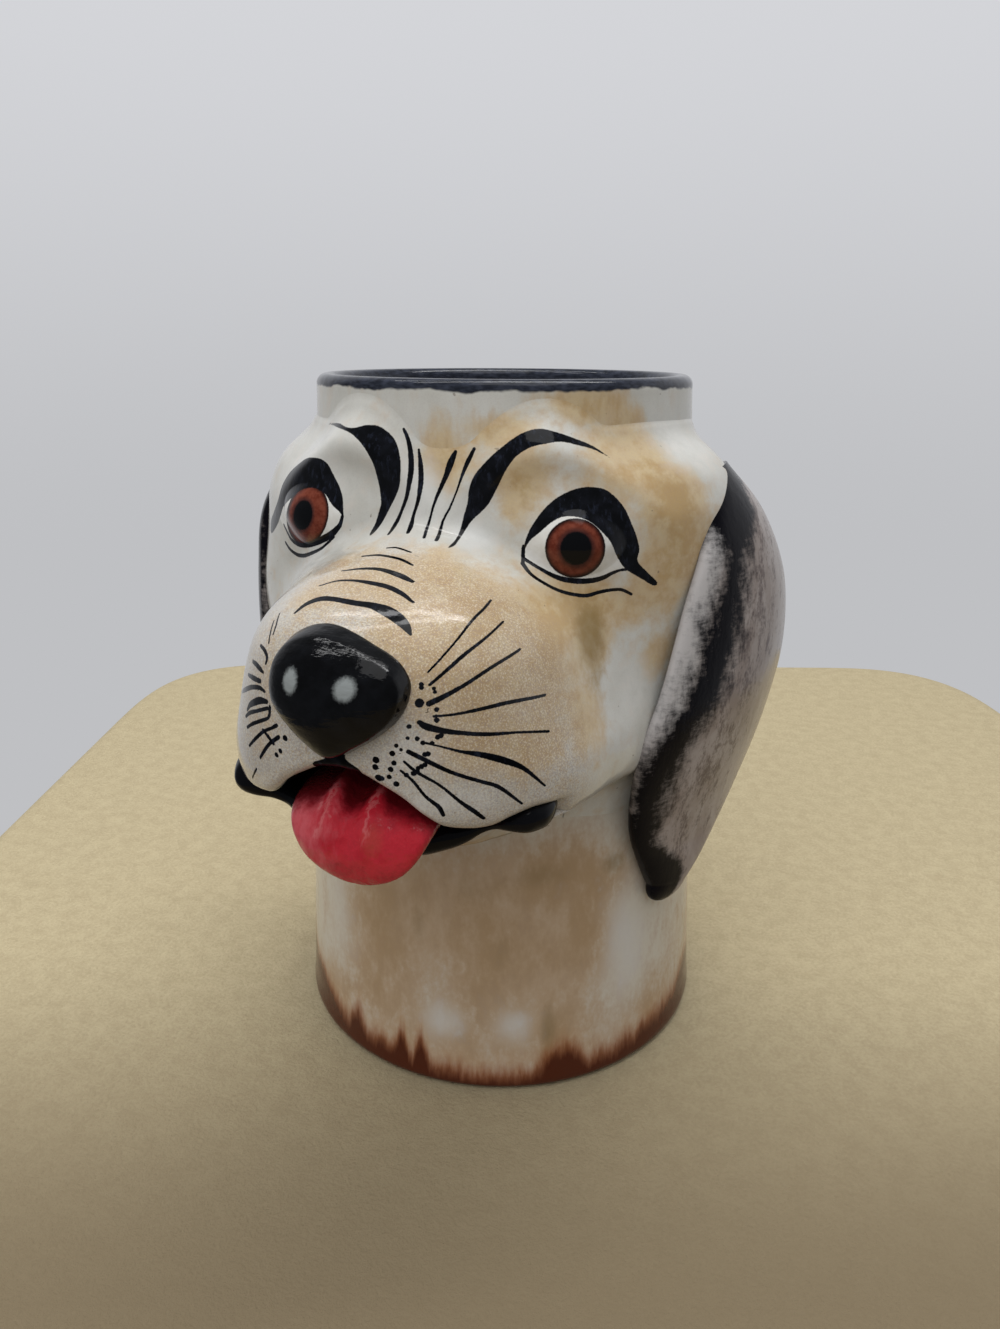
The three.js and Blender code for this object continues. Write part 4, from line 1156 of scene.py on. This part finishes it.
def brushwork(paint, bristle, wash):
    """Where the brush has been, from all the strokes and filled shapes."""
    line = -9.0
    for number in range(len(STROKES)):
        along, up, width = paint.field("stroke_%d" % number).parts()
        line = paint.most(line, width - paint.length(along, up))
    blot = paint.field("ink", "Fac") + 0.22 * bristle + 0.12 * wash
    return paint.most((line + 0.22 * bristle).ramp(-0.05, 0.06), blot.ramp(-0.06, 0.10))


def face_material():
    paint = Paint("face_glaze")
    tint = banded(paint, sponged(paint))
    bristle, wash = paint.noise(2.6, 3, 0.65, seed=21), paint.noise(0.32, 3, 0.6, seed=41)
    across, up, opening = paint.field("eye").parts()
    seen = opening.ramp(-0.06, 0.10)
    tint = paint.mix(seen, tint, paint.mix(wash.ramp(-0.2, 0.2), "e8e7e2", "dad7cf"))
    out = paint.length(across, up) + 0.05 * bristle
    tint = paint.mix(seen * out.ramp(1.02, 0.985), tint, iris(paint, bristle, out))
    black = paint.mix(wash.ramp(-0.1, 0.25), "07080b", "15171e")
    sweep = paint.noise(1.1, 3, 0.6, (1, 1, 0.35), 61).ramp(0.02, 0.22)
    black = paint.mix(0.6 * sweep, black, "282d3b")
    inked = brushwork(paint, bristle, wash)
    lips = (paint.field("mouth", "Fac") + 0.3 * wash).ramp(-0.1, 0.15)
    tint = paint.mix(lips, paint.mix(inked, tint, black), "0c0b0d")
    # black that faces the floor is duller
    shaded = paint.most(inked, lips) * paint.z.ramp(96, 92)
    return paint.finish(tint, 0.09 + 0.08 * paint.noise(0.3, 2), peel(paint), 0.09, 0.36 - 0.32 * shaded)


def jaw_material():
    paint = Paint("jaw_glaze")
    edge = paint.field("mouth", "Fac") + 0.9 * paint.noise(0.4, 3)
    tint = paint.mix(edge.ramp(-0.12, 0.2), sponged(paint), "0d0d10")
    return paint.finish(tint, 0.1, paint.noise(0.25, 2), 0.08, 0.2)


def nose_material():
    paint = Paint("nose_glaze")
    rag = 0.5 * paint.noise(2.2, 3, 0.6)
    tint = paint.mix(paint.noise(0.3, 3, 0.6).ramp(-0.2, 0.3), "050506", "101114")
    for x, z, wide, high in NOSE_SPOTS:
        away = paint.length((paint.x - x) * (1 / wide), (paint.z - z) * (1 / high)) + rag
        tint = paint.mix(0.85 * away.ramp(1.15, 0.55), tint, "989d9c")
    ridges = paint.noise(0.35, 3, 0.6, (0.6, 1, 2.2), 8)
    return paint.finish(tint, 0.09, ridges + 0.3 * paint.noise(1.0, 2), 0.12, 0.3)


def tongue_material():
    paint = Paint("tongue_glaze")
    blotch, wisp = paint.noise(0.16, 4, 0.6), paint.noise(0.6, 3, 0.6, (1, 1, 0.4), 6)
    tint = paint.mix(blotch.ramp(-0.12, 0.18), "c82e3b", "b4202d")
    tint = paint.mix(0.85 * (wisp - 0.05 * paint.x + 0.1).ramp(0.05, 0.7), tint, "cf5f66")
    tint = paint.mix(0.4 * blotch.ramp(0.03, -0.14), tint, "921624")
    smear = paint.length(0.42 * (paint.x - 5.5), 0.28 * (paint.z - 76.0)) + wisp
    tint = paint.mix(0.16 * smear.ramp(1.1, 0.2), tint, "8a6a45")
    # painted shade: the tongue turns dark maroon further back under the upper lip, and the shade stops short
    # along its two folds
    reach = 3.5 * wisp - paint.y
    for middle in TONGUE_FOLDS:
        reach += 3.0 * abs(paint.x - middle).ramp(2.6, 0.0)
    # painted highlight: pale pink streaks along the tops of the two folds
    ridge = paint.math("MINIMUM", *[abs(paint.x - middle + 7.0 * wisp) for middle in TONGUE_HIGHLIGHTS])
    painted_highlight = ridge.ramp(0.9, 0.0) * (paint.z + 9.0 * wisp).ramp(74.5, 77.0)
    tint = paint.mix(0.3 * painted_highlight, tint, "df9492")
    tint = paint.mix(0.95 * reach.ramp(76.5, 72.5), tint, "570c12")
    return paint.finish(tint, 0.08, paint.noise(0.28, 3, 0.55) + 0.4 * wisp, 0.6, 0.6)


def ear_material():
    paint = Paint("ear_glaze")
    down, over, facing = paint.field("flap").parts()
    streak, blotch = paint.noise(0.34, 5, 0.68, (1, 1, 0.45), 17), paint.noise(0.13, 4, 0.6, (1, 1, 0.6), 3)
    fine, hairs = paint.noise(1.6, 3, 0.65, (1, 1, 0.6), 5), paint.noise(1.1, 4, 0.7, (0.35, 0.35, 1), 29)
    tint = paint.mix(blotch.ramp(-0.15, 0.2), "aca29d", "93867f")
    behind = over.ramp(0.12, 0.3) * over.ramp(0.75, 0.4)
    mauve = streak + 0.5 * fine + 0.12 * behind
    tint = paint.mix(0.8 * mauve.ramp(0.04, 0.3), tint, "53433f")
    strip = over.ramp(0.13, 0.05) * down.ramp(0.66, 0.45)
    tint = paint.mix(0.85 * strip, tint, "c6c3c2")
    # the ragged black band runs down the front and widens at both ends
    middle = abs(over - 0.175 + 0.145 * down.ramp(0.35, 0.76))
    ragged = 0.35 * streak + 0.25 * blotch + 0.24 * hairs
    ends = 0.55 * down.ramp(0.74, 0.95) + 0.3 * down.ramp(0.20, 0.0)
    band = 0.125 - middle + 0.6 * ragged + ends
    tint = paint.mix(band.ramp(-0.05, 0.09), tint, "0b0a10")
    tint = paint.mix(0.8 * facing.ramp(0.1, -0.5), tint, "221c1f")
    return paint.finish(tint, 0.16 + 0.1 * streak, 1.2 * streak + 0.3 * fine, 0.10, 0.16)


def base_material():
    """Glazed inside, bare clay underneath."""
    paint = Paint("base_glaze")
    clay = paint.mix(paint.noise(0.7, 5, 0.7).ramp(-0.2, 0.2), "c4a283", "a58263")
    bare = paint.z.ramp(2.6, 1.8)
    tint = paint.mix(bare, sponged(paint), clay)
    return paint.finish(tint, 0.1 + 0.75 * bare, paint.noise(0.9, 4, 0.7), 0.06)


def cloth_material():
    paint = Paint("cloth")
    weave = paint.noise(1.1, 3, 0.7) + 0.7 * paint.noise(0.22, 3, 0.6)
    tint = paint.mix(weave.ramp(-0.25, 0.25), "c6b896", "b6a787")
    # painted shadow: the cloth is darker towards the front
    near = (paint.y - 0.36 * paint.x).ramp(8, -108)
    return paint.finish(paint.mix(0.92 * near, tint, "7c6e57"), 0.9, weave, 0.3, 0.1)


# Light, floor and camera

def area_light(name, place, target, width, height, watts):
    data = bpy.data.lights.new(name, "AREA")
    data.shape, data.size, data.size_y, data.energy = "RECTANGLE", width, height, watts
    lamp = bpy.data.objects.new(name, data)
    bpy.context.scene.collection.objects.link(lamp)
    lamp.location = place
    way = mathutils.Vector(target) - mathutils.Vector(place)
    lamp.rotation_euler = way.to_track_quat("-Z", "Y").to_euler()
    return lamp


def camera():
    """The camera of the photograph, fitted to the rim, the foot and the face."""
    place, right, up, ahead = viewpoint()
    data = bpy.data.cameras.new("camera")
    data.sensor_fit, data.sensor_height, data.lens = "VERTICAL", 36, FOCAL * 36 / PHOTO_HEIGHT
    data.clip_start, data.clip_end = 0.01, 30
    eye = bpy.data.objects.new("camera", data)
    bpy.context.scene.collection.objects.link(eye)
    basis = mathutils.Matrix(np.column_stack([right, up, -ahead]).tolist())
    eye.matrix_world = mathutils.Matrix.Translation(place * MM) @ basis.to_4x4()
    bpy.context.scene.camera = eye


def stage():
    """A cloth-covered table top, set square to the camera."""
    turn = around(128)
    rim = np.stack([np.cos(turn), np.sin(turn)], 1) * TABLE_CORNER
    rim[:, 0] += power(np.cos(turn), 0.06) * (TABLE_HALF_X - TABLE_CORNER)
    rim[:, 1] += power(np.sin(turn), 0.06) * (TABLE_HALF_Y - TABLE_CORNER)
    rings = [(t, 0.0, 0.0) for t in np.linspace(0.02, 0.95, 40)]
    for a in np.linspace(0, 90, 9) * DEG:
        rings.append((1.0, TABLE_FOLD * math.sin(a) - TABLE_FOLD, TABLE_FOLD * math.cos(a) - TABLE_FOLD))
    rings += [(1.0, 0.0, -TABLE_DROP * t) for t in np.linspace(0.1, 1, 10)]
    aside, away = math.sin(VIEW_TURN), math.cos(VIEW_TURN)
    points = []
    for share, out, down in rings:
        x, y = (rim * (share + out / TABLE_HALF_X) + TABLE_MIDDLE).T
        points.append(np.stack([x * away - y * aside, x * aside + y * away, np.full(128, down)], 1))
    mesh = bpy.data.meshes.new("floor")
    faces = grid_faces(len(rings), 128)[:, ::-1].tolist() + [list(range(128))]
    mesh.from_pydata(np.vstack(points).tolist(), [], faces)
    floor = placed("floor", mesh)
    floor.data.materials.append(cloth_material())


def wall():
    """A pale wall to look at and see mirrored, and soft light from above for everything else."""
    world = bpy.data.worlds.new("world")
    bpy.context.scene.world = world
    world.use_nodes = True
    nodes = Nodes(world.node_tree)
    _, ahead, up = nodes.get("ShaderNodeTexCoord", "Generated").parts()
    pale = nodes.mix(up.ramp(-0.2, 0.35), "bfc0c3", "d5d6da")
    high = nodes.mix(up.ramp(0.4, 0.8), pale, "85878b")
    high = nodes.mix(ahead.ramp(-0.1, 0.5), "606266", high)
    light = nodes.mix(up.ramp(-0.1, 0.95), (0.20, 0.205, 0.215, 1), (0.72, 0.73, 0.75, 1))
    rays = nodes.add("ShaderNodeLightPath").outputs
    kinds = ("Camera", "Glossy", "Transmission")
    seen, mirrored, through = [Value(nodes, rays["Is %s Ray" % kind]) for kind in kinds]
    plain = nodes.most(seen, nodes.most(mirrored, through))
    shown = nodes.mix(plain, light, nodes.mix(seen, high, pale))
    nodes.feed(world.node_tree.nodes["Background"].inputs["Color"], shown)


cup_body()
cup_base()
face_shell()
nose_bulb()
eye_pad("left_eye_pad", "left_eye", 1)
eye_pad("right_eye_pad", "right_eye", -1)
jaw_chin()
tongue_blade()
ear_flap("left_ear_flap", "left_ear", 1)
ear_flap("right_ear_flap", "right_ear", -1, FAR_EAR_SWING, FAR_EAR_STAND)
handle_strap()

body, face, ear = body_material(), face_material(), ear_material()
glazes = {"cup_floor": base_material(), "nose": nose_material(), "tongue": tongue_material()}
glazes.update(left_ear=ear, right_ear=ear)
dressed = {**glazes, "face_mask": face, "left_eye": face, "right_eye": face, "lower_jaw": jaw_material()}
for name, piece in pieces.items():
    piece.data.materials.append(dressed.get(name, body))
for name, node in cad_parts.items():
    node.data.materials.clear()
    node.data.materials.append(glazes.get(name, body))

stage()
wall()
camera()
area_light("ceiling", (0.12, 0.02, 0.95), (0, 0, 0.1), 0.9, 0.5, 1.9)
area_light("window", (-0.12, -0.62, 0.58), (0, 0, 0.1), 0.9, 0.9, 2.2).visible_glossy = False
area_light("front_tube", (-0.06, 0.05, 0.87), (0, -0.04, 0.11), 0.9, 0.06, 1.05)
area_light("back_tube", (-0.06, 0.20, 0.84), (0, -0.04, 0.11), 0.9, 0.06, 1.05)
bpy.context.scene.view_settings.view_transform = "Standard"
